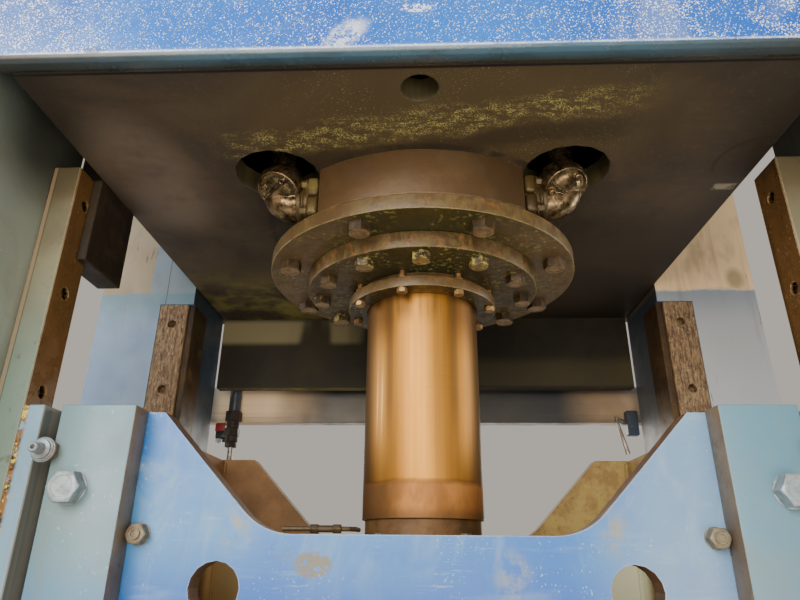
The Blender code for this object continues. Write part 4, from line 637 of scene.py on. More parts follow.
def ram_material():
    """Polished ram under an amber oil film, stained at its foot, with painted highlights, dark reflection
    bands and shade.
    """
    g = Graph("ram_chrome", 0.3, 1.0)
    x, y, z = g.axes()
    turn = g.maths("DIVIDE", x, RAM_RADIUS)
    front = y.ramp(0.02, -0.02)
    lanes = g.grain(0.3, 0.72, 1, 0.6, stretch=(30, 30, 0.25))
    colour = g.mix(lanes, (172, 120, 50), (190, 139, 64))
    thin = g.grain(0.56, 0.72, 1, top=0.45, stretch=(120, 120, 0.6), shift=3)
    scuffs = g.grain(0.6, 0.7, 1, 0.75, stretch=(5, 5, 420), shift=9) * g.grain(0.42, 0.6, 6, 0.6)
    # Painted highlight: two narrow bright bands on the left of the ram's front.
    painted_highlight = g.most(turn.band(-0.75, -0.73, 0.01), turn.band(-0.67, -0.65, 0.01)) * z.band(1.94, 2.04, 0.06)
    high = z.ramp(1.88, 2)
    edge = z + g.noise(14, 0.6) * 0.016
    stain = edge.ramp(1.841, 1.829)
    ring_line = edge.band(1.83, 1.84, 0.003) * 0.5
    foot = g.mix(g.grain(0.36, 0.66, 18, 0.72, stretch=(1, 1, 0.5)), (140, 92, 44), (178, 122, 64))
    foot = g.over(foot,
        (turn.ramp(-0.25, -0.7) * 0.85, (74, 54, 36)),
        (turn.ramp(0.45, 0.9) * 0.6, (130, 82, 38)),
        (z.ramp(1.785, 1.762) * 0.6, (78, 54, 34)))
    drips = edge.ramp(2.15, 2.2) * g.grain(0.4, 0.58, 1, 0.6, stretch=(26, 26, 1.2), shift=7)
    # top is drip runs plus a painted shadow below the wiper ring, towards both sides.
    top = g.most(drips, edge.ramp(2.09, 2.19) * abs(turn).ramp(0.36, 0.62))
    spigot = z.ramp(1.76, 1.757)
    metal = g.most(stain, spigot).ramp(0, 1, 0.86, 0.4)
    lines = g.noise(1, 0.6, stretch=(2, 2, 900), detail=3)
    roughness = g.grain(0.3, 0.75, 1, out=(0.38, 0.54), stretch=(14, 14, 1.2), shift=5) + stain * 0.08
    colour = g.over(colour,
        (thin, (140, 104, 64)),
        (scuffs * 0.4, (120, 90, 58)),
        (painted_highlight * front * 0.5, (248, 214, 160)),
        # Painted dark reflection bands either side of the middle, then painted shade towards the ram's
        # sides.
        (turn.band(0.47, 0.6, 0.05) * front * high * 0.55, (104, 80, 54)),
        (turn.band(-0.6, -0.49, 0.05) * front * high * 0.55, (112, 84, 66)),
        (abs(turn).ramp(0.58, 0.97) * 0.9, (90, 74, 52)),
        (stain * 0.9, foot),
        (ring_line, (112, 72, 36)),
        # Drip runs and painted shadow below the wiper ring.
        (top * 0.7, (96, 66, 38)),
        (spigot, g.mix(g.grain(0.4, 0.64, 20), (112, 84, 54), (88, 66, 42))))
    return g.finish(colour, roughness, metal, lines, 0.06, 0.0003, 0.0015)


def steel_material(name, base, second, rough, rust, metal=0.85):
    """Turned or plated steel with a little rust."""
    g = Graph(name)
    colour = g.mix(g.grain(0.35, 0.66, 60), base, second)
    stain = g.grain(0.47, 0.62, 26, 0.75, shift=3) * rust
    rub = g.edge() * 0.5
    roughness = (g.noise(70) + stain).ramp(0.3, 1.1, rough, rough + 0.4)
    colour = g.over(colour,
        (stain, (112, 66, 34)),
        (rub, (214, 206, 190)))
    return g.finish(colour, roughness, stain.ramp(0, 1, metal, 0.1), g.noise(220), 0.25, 0.0006, 0.001)


def rubber_material():
    """Dark rubber of the seals."""
    g = Graph("seal_rubber", 0.6)
    colour = g.mix(g.grain(0.4, 0.7, 60, 0.6), (26, 24, 22), (46, 40, 34))
    return g.finish(colour, g.grain(0.3, 0.7, 30, 0.6, out=(0.5, 0.75)), None, g.noise(300, 0.6, detail=3),
        0.2, 0.0004)


def plastic_material(name, base, second):
    """Matt plastic of the switches."""
    g = Graph(name, 0.45)
    colour = g.mix(g.grain(0.4, 0.7, 50), base, second)
    return g.finish(colour, g.grain(0.3, 0.7, 30, 0.6, out=(0.35, 0.6)), None, g.noise(300, 0.6, detail=3),
        0.15, 0.0004)


MATERIALS = {
    "crown": crown_material(),
    "slide": slide_material(),
    "pad": worn_paint("pad_paint", (88, 132, 158), (106, 136, 148), (116, 126, 122), (150, 170, 176),
        (98, 88, 72), 0.5, 0.36, 0.5, 0.8, (1.78, 1.66, 0.65, (74, 132, 180))),
    "strip": worn_paint("strip_paint", (104, 150, 190), (126, 164, 192), (112, 120, 116), (206, 216, 220),
        (96, 84, 66), 0.5, 0.36, 0.6, 0.9, None, (0.684, 0.692)),
    "pad_side": oily_iron("pad_side_grime", (120, 106, 88), (98, 84, 68), (146, 140, 112), 0.5, 0.45, 0.2,
        0.1),
    "front_post": worn_paint("front_post_paint", (68, 128, 186), (92, 146, 192), (124, 122, 108),
        (168, 176, 164), (60, 50, 38), 0.5, 0.4, 0.5, 0.6, (2.16, 1.86, 0.8, (84, 114, 106)), None,
        ((148, 160, 152), (132, 146, 140))),
    "rear_post": rear_post_material(),
    "bed": worn_paint("bed_paint", (68, 128, 186), (92, 146, 192), (96, 92, 82), (196, 206, 212),
        (92, 74, 54), 0.6, 0.4, 0.6, 0.9),
    "rail": rail_material(),
    "front_way": front_way_material(),
    "rear_way": rear_way_material(),
    "liner": oily_iron("liner_iron", (76, 56, 32), (44, 33, 20), (132, 110, 66), 0.4, 0.45, 0.3, 0.2, 0.4),
    "hanger": oily_iron("hanger_iron", (46, 37, 26), (30, 24, 18), (80, 70, 50), 0.3, 0.55, 0.2, 0.15,
        0.12),
    "drum": oily_iron("drum_paint", (86, 66, 44), (68, 53, 36), (98, 86, 52), 0.2, 0.34, 0.0, 0.15),
    "head": head_material("head_paint", 0.357, (54, 52, 28), (92, 75, 52), (80, 63, 42), (106, 98, 54),
        0.35),
    "gland": head_material("gland_paint", 0.269, (48, 46, 23), (70, 58, 38), (66, 50, 28), (96, 84, 42),
        0.5),
    "wiper": head_material("wiper_bronze", 0.172, (46, 34, 20), (48, 36, 22), (84, 66, 40), (96, 84, 48),
        0.3),
    "bolt": bolt_material(),
    "flange": oily_iron("flange_crust", (112, 96, 58), (62, 50, 28), (152, 144, 74), 0.8, 0.35, 0.3, 0.35),
    "small_bolt": oily_iron("small_bolt_iron", (168, 138, 96), (126, 98, 64), (196, 172, 112), 0.4, 0.3,
        0.1, 0.7),
    "fitting": steel_material("fitting_steel", (146, 128, 98), (66, 55, 40), 0.2, 0.2, 0.9),
    "dark_fitting": oily_iron("grease_line_iron", (66, 54, 36), (42, 34, 24), (120, 104, 66), 0.3, 0.4, 0.1,
        0.4),
    "ram": ram_material(),
    "steel": steel_material("machined_steel", (140, 138, 134), (112, 108, 100), 0.28, 0.35),
    "blue_bolt": steel_material("painted_bolt", (146, 162, 172), (120, 136, 148), 0.34, 0.4, 0.3),
    "dull_bolt": steel_material("dull_bolt", (124, 118, 98), (98, 92, 76), 0.45, 0.3, 0.3),
    "rusty_bolt": steel_material("rusty_bolt", (140, 122, 98), (110, 90, 68), 0.4, 0.7, 0.4),
    "iron": oily_iron("machined_iron", (112, 108, 100), (84, 78, 68), (120, 98, 66), 0.35, 0.3, 0.2, 0.7),
    "bronze": steel_material("turned_bronze", (176, 132, 66), (146, 104, 48), 0.3, 0.1, 0.95),
    "rubber": rubber_material(),
    "bracket": worn_paint("bracket_paint", (44, 60, 78), (36, 48, 62), (58, 50, 40), (120, 130, 140),
        (60, 48, 36), 0.4, 0.4, 0.3, 0.6),
    "red": plastic_material("red_plastic", (150, 30, 24), (96, 20, 18)),
    "black": plastic_material("black_plastic", (28, 27, 26), (48, 44, 38)),
    "white": plastic_material("white_plastic", (190, 196, 206), (150, 152, 156)),
}

NODE_FINISH = {
    "bed": "bed", "bolster_plate": "iron", "crown": "crown", "post_front": "front_post",
    "post_rear": "rear_post", "way_front": "front_way", "way_rear": "rear_way", "liner_rear": "liner",
    "hanging_plate": "hanger", "rear_rail": "rail", "gauge_tube": "bracket", "gauge_clamp": "steel",
    "gauge_rod": "steel", "limit_switch": "bracket", "trip_rod": "steel", "cylinder_barrel": "drum",
    "cylinder_head": "head", "gland_ring": "gland", "wiper_ring": "wiper", "wiper_seal": "rubber",
    "rod_bushing": "bronze", "rod_packing": "rubber", "cylinder_cap": "drum", "elbow": "fitting",
    "split_flange": "flange", "pipe": "fitting", "ram": "ram", "piston": "steel", "piston_ring": "rubber",
    "ram_clamp": "steel", "slide_frame": "slide", "ram_seat": "slide", "die_plate": "iron",
    "gib_pad": "pad", "gib_strip": "strip", "gib_rear": "liner", "gib_screw": "steel",
    "grease_tube": "dark_fitting", "grease_fitting": "dark_fitting",
}


def dress_nodes():
    """Gives each node of the frame the finish with the longest fitting name."""
    for name, item in NODES.items():
        best = max((key for key in NODE_FINISH if name.startswith(key)), key=len)
        item.data.materials.clear()
        item.data.materials.append(MATERIALS[NODE_FINISH[best]])


def fillet(points, radius, steps=4):
    """Rounds the inner corners of an open profile."""
    made = [points[0]]
    for before, corner, after in zip(points, points[1:], points[2:]):
        a, b, c = (Vector(before), Vector(corner), Vector(after))
        one, two = (a - b, c - b)
        reach = min(radius, one.length * 0.45, two.length * 0.45)
        if reach < 1e-05 or abs(one.normalized().cross(two.normalized())) < 0.05:
            made.append(corner)
            continue
        start, end = (b + one.normalized() * reach, b + two.normalized() * reach)
        for index in range(steps + 1):
            share = index / steps
            made.append(tuple(start.lerp(b, share).lerp(b.lerp(end, share), share)))
    made.append(points[-1])
    return made


def at(*place):
    return Matrix.Translation(place)


def rotate(axis, angle):
    return Matrix.Rotation(angle, 4, axis)


def circle(shape, place, steps, where):
    """Points round a place, each at the radius and height that where gives for its angle."""
    made = []
    for index in range(steps):
        angle = 2 * math.pi * index / steps
        radius, z = where(angle)
        made.append(shape.verts.new(place @ Vector((radius * math.cos(angle), radius * math.sin(angle), z))))
    return made


def bridge(shape, rings):
    """Joins rings of points by faces. A ring of one point is a tip."""
    for first, second in zip(rings, rings[1:]):
        count = max(len(first), len(second))
        for index in range(count if count > 1 else 0):
            after = (index + 1) % count
            corners = (first[index % len(first)], first[after % len(first)],
                second[after % len(second)], second[index % len(second)])
            shape.faces.new(list(dict.fromkeys(corners)))


def lathe(shape, profile, steps, place=Matrix.Identity(4), limit=None):
    """Turns a profile round Z. limit gives flats at plus and minus that x."""
    rings = []
    for radius, height in profile:
        if radius < 1e-06:
            rings.append([shape.verts.new(place @ Vector((0, 0, height)))])
            continue

        def where(angle):
            across = abs(math.cos(angle))
            cut = limit is not None and across * radius > limit
            return (limit / across if cut else radius, height)

        rings.append(circle(shape, place, steps, where))
    bridge(shape, rings)


def hex_reach(angle, apothem):
    """Distance from the middle of a hexagon to its outline."""
    return apothem / math.cos((angle + math.pi / 6) % (math.pi / 3) - math.pi / 6)


def hex_head(shape, flats, height, place, washer=0.0, washer_height=0.0):
    """A chamfered hexagon head standing on z = 0, with an optional washer under it."""
    apothem = flats / 2
    if washer:
        profile = [(0, 0), (washer, 0), (washer, washer_height), (0, washer_height)]
        lathe(shape, fillet(profile, washer_height * 0.3, 2), 40, place)
    rings = []
    for level in range(6):

        def where(angle):
            corner = hex_reach(angle, apothem)
            drop = max(0.0, corner - apothem * 0.97) * 0.6
            radius, z = ((corner, 0), (corner, height - drop - apothem * 0.03),
                (min(corner, apothem * 0.97), height - apothem * 0.01),
                (apothem * 0.93, height), (apothem * 0.72, height),
                (apothem * 0.68, height * 0.96))[level]
            return (radius, washer_height + z)

        rings.append(circle(shape, place, HEX_STEPS, where))
    bridge(shape, rings)
    shape.faces.new(rings[-1])
    shape.faces.new(list(reversed(rings[0])))


def hex_ring(shape, flats, height, place, bore=0.0095):
    """A hexagon with a bore and a small chamfer at both ends."""

    def hexagon(z):
        return circle(shape, place, HEX_STEPS, lambda angle: (hex_reach(angle, flats / 2), z))

    def plain(radius, z):
        return circle(shape, place, HEX_STEPS, lambda angle: (radius, z))

    end = flats * 0.485
    rings = [plain(end, 0), hexagon(0.001), hexagon(height - 0.001), plain(end, height), plain(bore, height),
        plain(bore, 0)]
    bridge(shape, rings + rings[:1])


def block(shape, low, high, radius, segments=2):
    """A box with rounded edges."""
    size = [b - a for a, b in zip(low, high)]
    place = Matrix.Translation([(a + b) / 2 for a, b in zip(low, high)]) @ Matrix.Diagonal((*size, 1))
    made = bmesh.ops.create_cube(shape, size=1, matrix=place)
    edges = list({edge for vert in made["verts"] for edge in vert.link_edges})
    bmesh.ops.bevel(shape, geom=edges, offset=radius, segments=segments, affect="EDGES", profile=0.5)


def sweep(shape, path, radius, steps):
    """A tube along a path. radius may be a number or a list, one for each point."""
    points = [Vector(point) for point in path]
    normal = None
    rings = []
    for index, point in enumerate(points):
        ahead = points[min(index + 1, len(points) - 1)] - points[max(index - 1, 0)]
        ahead.normalize()
        if normal is None:
            normal = ahead.orthogonal().normalized()
        normal = (normal - ahead * normal.dot(ahead)).normalized()
        side = ahead.cross(normal)
        size = radius[index] if isinstance(radius, list) else radius
        angles = [2 * math.pi * step / steps for step in range(steps)]
        rings.append([shape.verts.new(point + (normal * math.cos(angle) + side * math.sin(angle)) * size)
            for angle in angles])
    bridge(shape, rings)
    shape.faces.new(list(reversed(rings[0])))
    shape.faces.new(rings[-1])


def weld(shape, start, end, radius):
    """A rippled weld bead along a straight seam."""
    a, b = (Vector(start), Vector(end))
    count = int((b - a).length / WELD_PITCH * 3)
    path, sizes = ([], [])
    for index in range(count + 1):
        share = index / count
        distance = (b - a).length * share
        path.append(a.lerp(b, share))
        ripple = 0.14 * abs(math.sin(math.pi * distance / WELD_PITCH))
        waver = 0.1 * math.sin(distance * 61)
        sizes.append(radius * (0.86 + ripple + waver))
    sweep(shape, path, sizes, 8)


def piece(name, build, finish, body, slot, nodes=()):
    """Makes a piece that rides a body and stands for the named nodes of the frame."""
    shape = bmesh.new()
    build(shape)
    bmesh.ops.recalc_face_normals(shape, faces=shape.faces)
    mesh = bpy.data.meshes.new(name)
    shape.to_mesh(mesh)
    shape.free()
    mesh.shade_smooth()
    mesh.set_sharp_from_angle(angle=SMOOTH_ANGLE)
    mesh.materials.append(MATERIALS[finish])
    item = bpy.data.objects.new(name, mesh)
    bpy.context.scene.collection.objects.link(item)
    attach(item, body)
    if nodes:
        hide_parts(*nodes)
    return item


def ring(inner, outer, bottom, top, radius=0.002):
    """The closed profile of a ring with rounded outer edges."""
    return fillet([(inner, bottom), (outer, bottom), (outer, top), (inner, top)], radius) + [(inner, bottom)]


def turned(name, profile, steps, *rest):
    """A piece turned round the middle of the press."""
    piece(name, lambda shape: lathe(shape, profile, steps), *rest)


def circle_places(radius, degrees, height, down=True):
    """Places on a circle under the crown, from the front round, each with a turn of its own."""
    turn = rotate("X", math.pi) if down else Matrix.Identity(4)
    for index, angle in enumerate(degrees):
        share = math.radians(angle)
        spin = rotate("Z", math.radians(index * 47 % 60))
        yield at(radius * math.sin(share), -radius * math.cos(share), height) @ turn @ spin


def make_cylinder():
    head_degrees = (22.5, 67.5, 112.5, 135, 157.5, 180, 202.5, 225, 247.5, 292.5, 337.5)
    top = UNDERSIDE - FIT
    drum = fillet([(BORE, DRUM_BOTTOM), (DRUM_RADIUS, DRUM_BOTTOM), (DRUM_RADIUS, top)], 0.002)

    def barrel(shape):
        lathe(shape, drum, 192, limit=DRUM_FLAT)
        lathe(shape, [(DRUM_RADIUS, top), (0.28, top)], 192, limit=DRUM_FLAT)
        lathe(shape, [(0.28, top), (0.28, BARREL_TOP), (BORE, BARREL_TOP), (BORE, DRUM_BOTTOM)], 128)
        bmesh.ops.remove_doubles(shape, verts=shape.verts, dist=1e-05)

    piece("barrel_skin", barrel, "drum", "frame", "cylinder_iron", ["cylinder_barrel"])
    head = ring(0.1416, DRUM_RADIUS, HEAD_BOTTOM, DRUM_BOTTOM - FIT)
    turned("head_skin", head, 160, "head", "frame", "cylinder_iron", ["cylinder_head"])
    gland = ring(0.1436, 0.269, GLAND_BOTTOM, HEAD_BOTTOM - FIT, 0.003)
    turned("gland_skin", gland, 144, "gland", "frame", "cylinder_iron", ["gland_ring"])
    wiper = fillet([(0.1376, GLAND_BOTTOM - FIT), (0.15, GLAND_BOTTOM - FIT), (0.15, NECK_BOTTOM),
        (0.172, NECK_BOTTOM), (0.172, WIPER_BOTTOM), (0.1285, WIPER_BOTTOM), (0.1285, WIPER_BOTTOM + 0.003),
        (0.1376, WIPER_BOTTOM + 0.003), (0.1376, GLAND_BOTTOM - FIT)], 0.0018, 3)
    turned("wiper_skin", wiper, 128, "wiper", "frame", "cylinder_iron", ["wiper_ring"])

    def big_bolts(shape):
        for place in circle_places(HEAD_CIRCLE, head_degrees, HEAD_BOTTOM):
            hex_head(shape, 0.043, 0.021, place)
        for place in circle_places(GLAND_CIRCLE, EVERY_30, GLAND_BOTTOM):
            hex_head(shape, 0.036, 0.018, place)

    piece("cylinder_bolts", big_bolts, "bolt", "frame", "cylinder_iron")

    def small_bolts(shape):
        for place in circle_places(WIPER_CIRCLE, EVERY_45, WIPER_BOTTOM):
            hex_head(shape, 0.02, 0.009, place, 0.0105, 0.0018)
        for place in circle_places(WIPER_CIRCLE, EVERY_45, NECK_BOTTOM - 0.0005, False):
            lathe(shape, [(0, 0), (0.0062, 0), (0.0062, 0.0183), (0, 0.0183)], 20, place)
            hex_head(shape, 0.017, 0.007, place @ at(0, 0, 0.0005))

    piece("wiper_bolts", small_bolts, "small_bolt", "frame", "cylinder_iron")

    ram = fillet([(0, 3.005), (0.075, 3.005), (0.075, 2.83), (RAM_RADIUS, 2.83), (RAM_RADIUS, 1.758),
        (0.121, 1.758), (0.121, 1.7053), (RAM_RADIUS, 1.7053), (RAM_RADIUS, 1.6953), (0, 1.6953)], 0.0015, 3)
    turned("ram_skin", ram, 160, "ram", "slide", "ram_chrome", ["ram"])

    def cap(shape):
        lathe(shape, ring(0.045, 0.27, BARREL_TOP + FIT, CAP_TOP), 128)
        for place in circle_places(CAP_CIRCLE, EVERY_30, CAP_TOP, False):
            hex_head(shape, 0.036, 0.0175, place)

    piece("cap_skin", cap, "drum", "frame", "cylinder_iron", ["cylinder_cap"])


def elbow_path(side):
    x, y, z = ELBOW
    bend = 0.03
    path = [(side * x, y, UNDERSIDE + 0.018), (side * x, y, z + bend)]
    for index in range(1, 9):
        angle = math.pi / 2 * index / 8
        path.append((side * (x - bend * (1 - math.cos(angle))), y, z + bend * (1 - math.sin(angle))))
    path.append((side * (DRUM_FLAT + 0.002), y, z))
    return path


def make_elbow(word, side):
    x, y, z = ELBOW
    toward = at(side * DRUM_FLAT, y, z) @ rotate("Y", side * math.pi / 2)
    upward = at(side * x, y, UNDERSIDE)
    look = (Vector((side * 0.25, -0.45, -0.86)).to_track_quat("-Z", "Y").to_matrix().to_4x4()
        @ rotate("X", math.pi))
    disc = at(side * 0.293, y - 0.034, z + 0.022) @ look

    def body(shape):
        sweep(shape, elbow_path(side), 0.036, 32)
        lathe(shape, fillet([(0, -0.03), (0.041, -0.03), (0.047, -0.022), (0.047, -0.006), (0.042, -0.001),
            (0.042, 0.008), (0.046, 0.011), (0.046, 0.018), (0, 0.018)], 0.003), 48, upward)
        lathe(shape, fillet([(0, -0.06), (0.026, -0.056), (0.04, -0.036), (0.0455, -0.012), (0.0465, 0.006),
            (0.0455, 0.011), (0.0425, 0.012), (0.04, 0.008), (0.03, 0.009), (0.024, 0.013), (0.01, 0.015),
            (0, 0.015)], 0.003), 64, disc)
        for angle in (0.6, 2.5, 4.4):
            spot = disc @ at(0.031 * math.cos(angle), side * 0.031 * math.sin(angle), 0.008)
            lathe(shape, fillet([(0, 0), (0.0078, 0), (0.0078, 0.009), (0.0068, 0.0102), (0.004, 0.0102),
                (0.004, 0.005), (0, 0.005)], 0.0006, 2), 24, spot)
        path = []
        for index in range(9):
            share = index / 8 * 2 - 1
            path.append(disc @ Vector((share * 0.036, side * (0.01 - 0.012 * share),
                0.011 + 0.004 * (1 - share * share))))
        sweep(shape, path, 0.0042, 12)
        lump = disc @ at(-side * 0.02, 0.022, 0.006)
        lathe(shape, [(0, -0.012), (0.014, -0.009), (0.019, 0), (0.016, 0.009), (0.009, 0.014), (0, 0.015)],
            32, lump)

    piece("elbow_skin_" + word, body, "fitting", "frame", "fitting_metal", ["elbow_" + word])

    def flange(shape):
        for up in (-1, 1):
            z0, z1 = sorted((z + up * 0.0015, z + up * 0.043))
            x0, x1 = sorted((side * (DRUM_FLAT + FIT), side * (DRUM_FLAT + 0.024)))
            block(shape, (x0, y - 0.046, z0), (x1, y + 0.044, z1), 0.007, 3)
            for across in (-1, 1):
                seat = at(side * (DRUM_FLAT + 0.024), y + across * 0.034, z + up * 0.031)
                seat = seat @ rotate("Y", side * math.pi / 2)
                hex_head(shape, 0.017, 0.011, seat, 0.012, 0.002)
        lathe(shape, fillet([(0, 0.02), (0.04, 0.02), (0.04, 0.03), (0.0375, 0.033), (0.0375, 0.036),
            (0.041, 0.038), (0.041, 0.047), (0, 0.047)], 0.002), 48, toward)

    piece("split_flange_skin_" + word, flange, "flange", "frame", "fitting_metal", ["split_flange_" + word])

    def pipe(shape):
        profile = [(0.021, 2.4483), (0.026, 2.4483), (0.026, 3.258), (0.048, 3.258), (0.048, 3.28),
            (0.021, 3.28), (0.021, 2.4483)]
        lathe(shape, fillet(profile, 0.0015, 2), 48, at(side * x, y, 0))

    piece("pipe_skin_" + word, pipe, "fitting", "frame", "fitting_metal", ["pipe_" + word])


def make_gibs(word, side):
    x0, x1 = sorted((side * 0.497, side * 0.629))
    forward = rotate("X", math.pi / 2)

    def pad(shape):
        block(shape, (x0, PAD_FRONT, SLIDE_BOTTOM), (x1, SLIDE_FRONT - FIT, SLIDE_TOP), 0.0025)

    item = piece("pad_skin_" + word, pad, "pad", "slide", "slide_paint", ["gib_pad_" + word])
    item.data.materials.append(MATERIALS["pad_side"])
    for face in item.data.polygons:
        if face.normal.x * -side > 0.9:
            face.material_index = 1
    heights = (SLIDE_TOP - 0.14, SLIDE_BOTTOM + 0.14)

    def heads(shape):
        for z in heights:
            place = at(side * 0.585, PAD_FRONT, z) @ forward
            hex_head(shape, 0.049, 0.027, place @ rotate("Z", 0.55), 0.028, 0.002)

    piece("pad_bolts_" + word, heads, "blue_bolt", "slide", "slide_paint")

    def side_heads(shape):
        for z in (SLIDE_TOP - 0.21, SLIDE_BOTTOM + 0.21):
            place = at(side * 0.4785, SLIDE_FRONT, z) @ forward @ rotate("Z", 0.52)
            hex_head(shape, 0.031, 0.02, place, 0.0182, 0.002)
            lathe(shape, [(0, 0.022), (0.0088, 0.022), (0.0088, 0.0242), (0.0062, 0.0242), (0.0062, 0.0222),
                (0, 0.0222)], 24, place)

    piece("pad_side_bolts_" + word, side_heads, "dull_bolt", "slide", "steel")
    for level, z in (("upper", SLIDE_TOP - 0.08), ("lower", SLIDE_BOTTOM + 0.08)):
        place = at(side * 0.636, PAD_FRONT, z) @ forward

        def nut(shape, place=place):
            hex_head(shape, 0.035, 0.0145, place)

        piece("screw_nut_%s_%s" % (word, level), nut, "rusty_bolt", "slide", "steel")

        def screw(shape, place=place):
            collar = fillet([(0, 0.014), (0.021, 0.014), (0.021, 0.018), (0.019, 0.0185), (0.019, 0.021),
                (0.0165, 0.0215), (0.0165, 0.026), (0, 0.026)], 0.0008, 2)
            lathe(shape, collar, 40, place)
            tip = fillet([(0, 0.025), (0.0105, 0.025), (0.0085, 0.032), (0.0085, 0.046), (0.0065, 0.048),
                (0.004, 0.048), (0.004, 0.037), (0, 0.037)], 0.0008, 2)
            lathe(shape, tip, 32, place)
            lathe(shape, [(0, 0.0), (0.01, 0.0), (0.01, -0.0527), (0, -0.0527)], 24, place)

        piece("screw_skin_%s_%s" % (word, level), screw, "blue_bolt", "slide", "steel",
            ["gib_screw_%s_%s" % (word, level)])


def make_slide_seams():
    front, back = (-0.213, 0.363)
    inner, outer = (0.252, 0.547)
    deck, floor, top = (1.697, 1.362, 1.92)
    size = 0.006

    def beads(shape):
        for y in (front, back):
            weld(shape, (-0.247, y, deck), (0.247, y, deck), size)
        for side in (-1, 1):
            for x in (inner, outer):
                weld(shape, (side * x, front + 0.008, floor), (side * x, back - 0.008, floor), size)
            for y in (front, back):
                weld(shape, (side * outer, y, floor + 0.008), (side * outer, y, top), size)

    piece("slide_welds", beads, "slide", "slide", "slide_paint")


def make_frame_seams():
    rib, rail, post = (0.682, 0.77, 0.965)
    level = UNDERSIDE + 0.012

    def beads(shape):
        for side in (-1, 1):
            weld(shape, (side * rib, -0.225, level), (side * rib, 0.32, level), 0.004)
            ends = (RAIL_MIDDLE - 0.05, RAIL_MIDDLE + 0.05)
            weld(shape, (side * rail, 0.642, ends[0]), (side * rail, 0.642, ends[1]), 0.005)
            weld(shape, (side * post, -0.5795, 2.44), (side * post, -0.5795, 3.15), 0.004)

    piece("crown_welds", beads, "hanger", "frame", "frame_paint")


def make_way_screws():
    def screws(shape):
        for side in (-1, 1):
            for z in (2.36, 2.163, 1.966):
                seat = at(side * 0.7215, -0.273, z) @ rotate("Y", -side * math.pi / 2)
                lathe(shape, fillet([(0, 0), (0.0105, 0), (0.0105, 0.011), (0.009, 0.0125),
                    (0.0055, 0.0125), (0.0055, 0.007), (0, 0.007)], 0.001, 2), 28, seat)

    piece("way_screws", screws, "dark_fitting", "frame", "way_iron")


def make_rear_bits():
    def tube(shape):
        place = at(*GAUGE_PLACE)
        profile = [(0.0093, 2.56), (0.019, 2.56), (0.019, 2.1), (0.0165, 2.095), (0.0165, 2.088),
            (0.0093, 2.088)]
        lathe(shape, fillet(profile, 0.001, 2), 32, place)

    piece("gauge_tube_skin", tube, "bracket", "frame", "post_paint", ["gauge_tube"])

    def union(shape):
        place = at(*GAUGE_PLACE)
        for z, flats, height in ((2.094, 0.047, 0.034), (2.046, 0.044, 0.026), (2.01, 0.034, 0.018)):
            hex_ring(shape, flats, height, place @ at(0, 0, z))
        profile = [(0.0093, 2.094), (0.0205, 2.094), (0.0205, 2.028), (0.0093, 2.028)]
        lathe(shape, profile + [profile[0]], 32, place)

    piece("gauge_union", union, "hanger", "frame", "post_paint")

    def red(shape):
        block(shape, (-0.703, 0.7, 2.068), (-0.67, 0.73, 2.0957), 0.004)

    piece("switch_left_skin", red, "red", "frame", "switch_plastic", ["limit_switch_left"])

    def black(shape):
        block(shape, (-0.7, 0.702, 2.046), (-0.664, 0.728, 2.069), 0.003)
        lathe(shape, [(0, 0), (0.006, 0), (0.006, -0.012), (0, -0.012)], 20, at(-0.672, 0.715, 2.047))

    piece("switch_left_foot", black, "black", "frame", "switch_plastic")

    def white(shape):
        place = at(-0.69, 0.712, 2.041) @ rotate("X", math.pi / 2)
        lathe(shape, fillet([(0, -0.005), (0.01, -0.005), (0.01, 0.005), (0, 0.005)], 0.001), 24, place)

    piece("switch_left_roller", white, "white", "frame", "switch_plastic")


def make_grease_line():
    def fitting(shape):
        y, z = (-0.247, 1.734)
        along = at(-0.192, y, z) @ rotate("Y", math.pi / 2)
        for start, flats, length in ((0.0, 0.0145, 0.014), (0.039, 0.0145, 0.014)):
            hex_ring(shape, flats, length, along @ at(0, 0, start), 0.0043)
        lathe(shape, fillet([(0.0043, 0.011), (0.0058, 0.011), (0.0058, 0.041), (0.0043, 0.041)], 0.0005)
            + [(0.0043, 0.011)], 24, along)

    piece("grease_fitting_skin", fitting, "dark_fitting", "slide", "fitting_metal", ["grease_fitting"])


def make_stage():
    floor_mesh = bpy.data.meshes.new("floor")
    shape = bmesh.new()
    bmesh.ops.create_grid(shape, x_segments=1, y_segments=1, size=9)
    shape.to_mesh(floor_mesh)
    shape.free()
    floor = bpy.data.objects.new("floor", floor_mesh)
    bpy.context.scene.collection.objects.link(floor)
    floor.location = (0, 0, -0.001)
    g = Graph("floor_paint", 0.7)
    colour = g.mix(g.grain(0.3, 0.7, 1.2, 0.5), (214, 210, 202), (204, 200, 192))
    floor.data.materials.append(g.finish(colour, soft=0.0001))
    world = bpy.data.worlds.new("studio")
    bpy.context.scene.world = world
    world.use_nodes = True
    back = world.node_tree.nodes["Background"]
    back.inputs["Color"].default_value = (0.8, 0.74, 0.66, 1)
    back.inputs["Strength"].default_value = 0.62


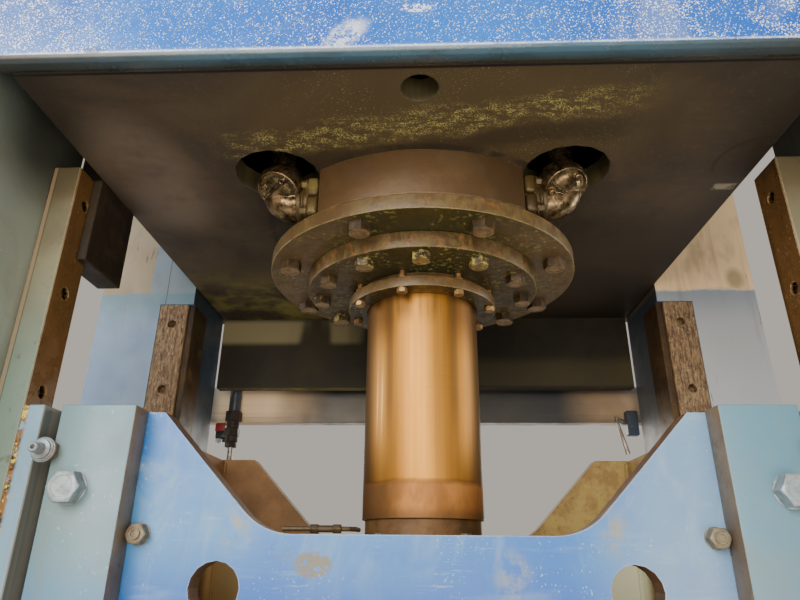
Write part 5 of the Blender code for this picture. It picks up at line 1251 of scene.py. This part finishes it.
def add_light(name, place, target, size, power, colour):
    data = bpy.data.lights.new(name, "AREA")
    data.shape = "RECTANGLE"
    data.size, data.size_y = size
    data.energy = power
    data.color = colour
    lamp = bpy.data.objects.new(name, data)
    bpy.context.scene.collection.objects.link(lamp)
    lamp.location = place
    lamp.rotation_euler = (Vector(target) - Vector(place)).to_track_quat("-Z", "Y").to_euler()


def make_lights():
    add_light("front_high", (-1.6, -3.6, 3.9), (0, -0.3, 2.2), (2.6, 1.6), 120, (0.92, 0.96, 1.0))
    add_light("front_middle", (-0.9, -3.7, 2.45), (0.1, 0.2, 2.1), (3.2, 1.6), 150, (1.0, 0.84, 0.64))
    add_light("front_low", (1.0, -3.2, 0.7), (0, 0, 2.3), (2.4, 1.2), 55, (1.0, 0.86, 0.68))
    add_light("side_left", (-3.4, 0.2, 2.2), (0, 0.1, 2.1), (1.4, 1.8), 50, (1.0, 0.9, 0.76))
    add_light("side_right", (3.4, 0.2, 2.2), (0, 0.1, 2.1), (1.4, 1.8), 60, (1.0, 0.9, 0.76))
    add_light("behind", (0.2, 3.2, 2.4), (0, 0.3, 2.0), (2.6, 1.4), 60, (1.0, 0.93, 0.84))


def make_camera():
    data = bpy.data.cameras.new("camera")
    data.sensor_width = SENSOR
    data.lens = CAMERA_LENS
    data.clip_start = 0.02
    data.clip_end = 60
    camera = bpy.data.objects.new("camera", data)
    bpy.context.scene.collection.objects.link(camera)
    forward = Vector((math.sin(CAMERA_YAW) * math.cos(CAMERA_PITCH),
        math.cos(CAMERA_YAW) * math.cos(CAMERA_PITCH), math.sin(CAMERA_PITCH)))
    level = Vector((math.cos(CAMERA_YAW), -math.sin(CAMERA_YAW), 0))
    upright = level.cross(forward)
    right = math.cos(CAMERA_ROLL) * level + math.sin(CAMERA_ROLL) * upright
    up = -math.sin(CAMERA_ROLL) * level + math.cos(CAMERA_ROLL) * upright
    turn = Matrix((right, up, -forward)).transposed().to_4x4()
    camera.matrix_world = Matrix.Translation(CAMERA_PLACE) @ turn
    bpy.context.scene.camera = camera


dress_nodes()
make_camera()
make_stage()
make_lights()
make_cylinder()
make_slide_seams()
make_frame_seams()
make_way_screws()
make_rear_bits()
make_grease_line()
for word, side in SIDES:
    make_elbow(word, side)
    make_gibs(word, side)
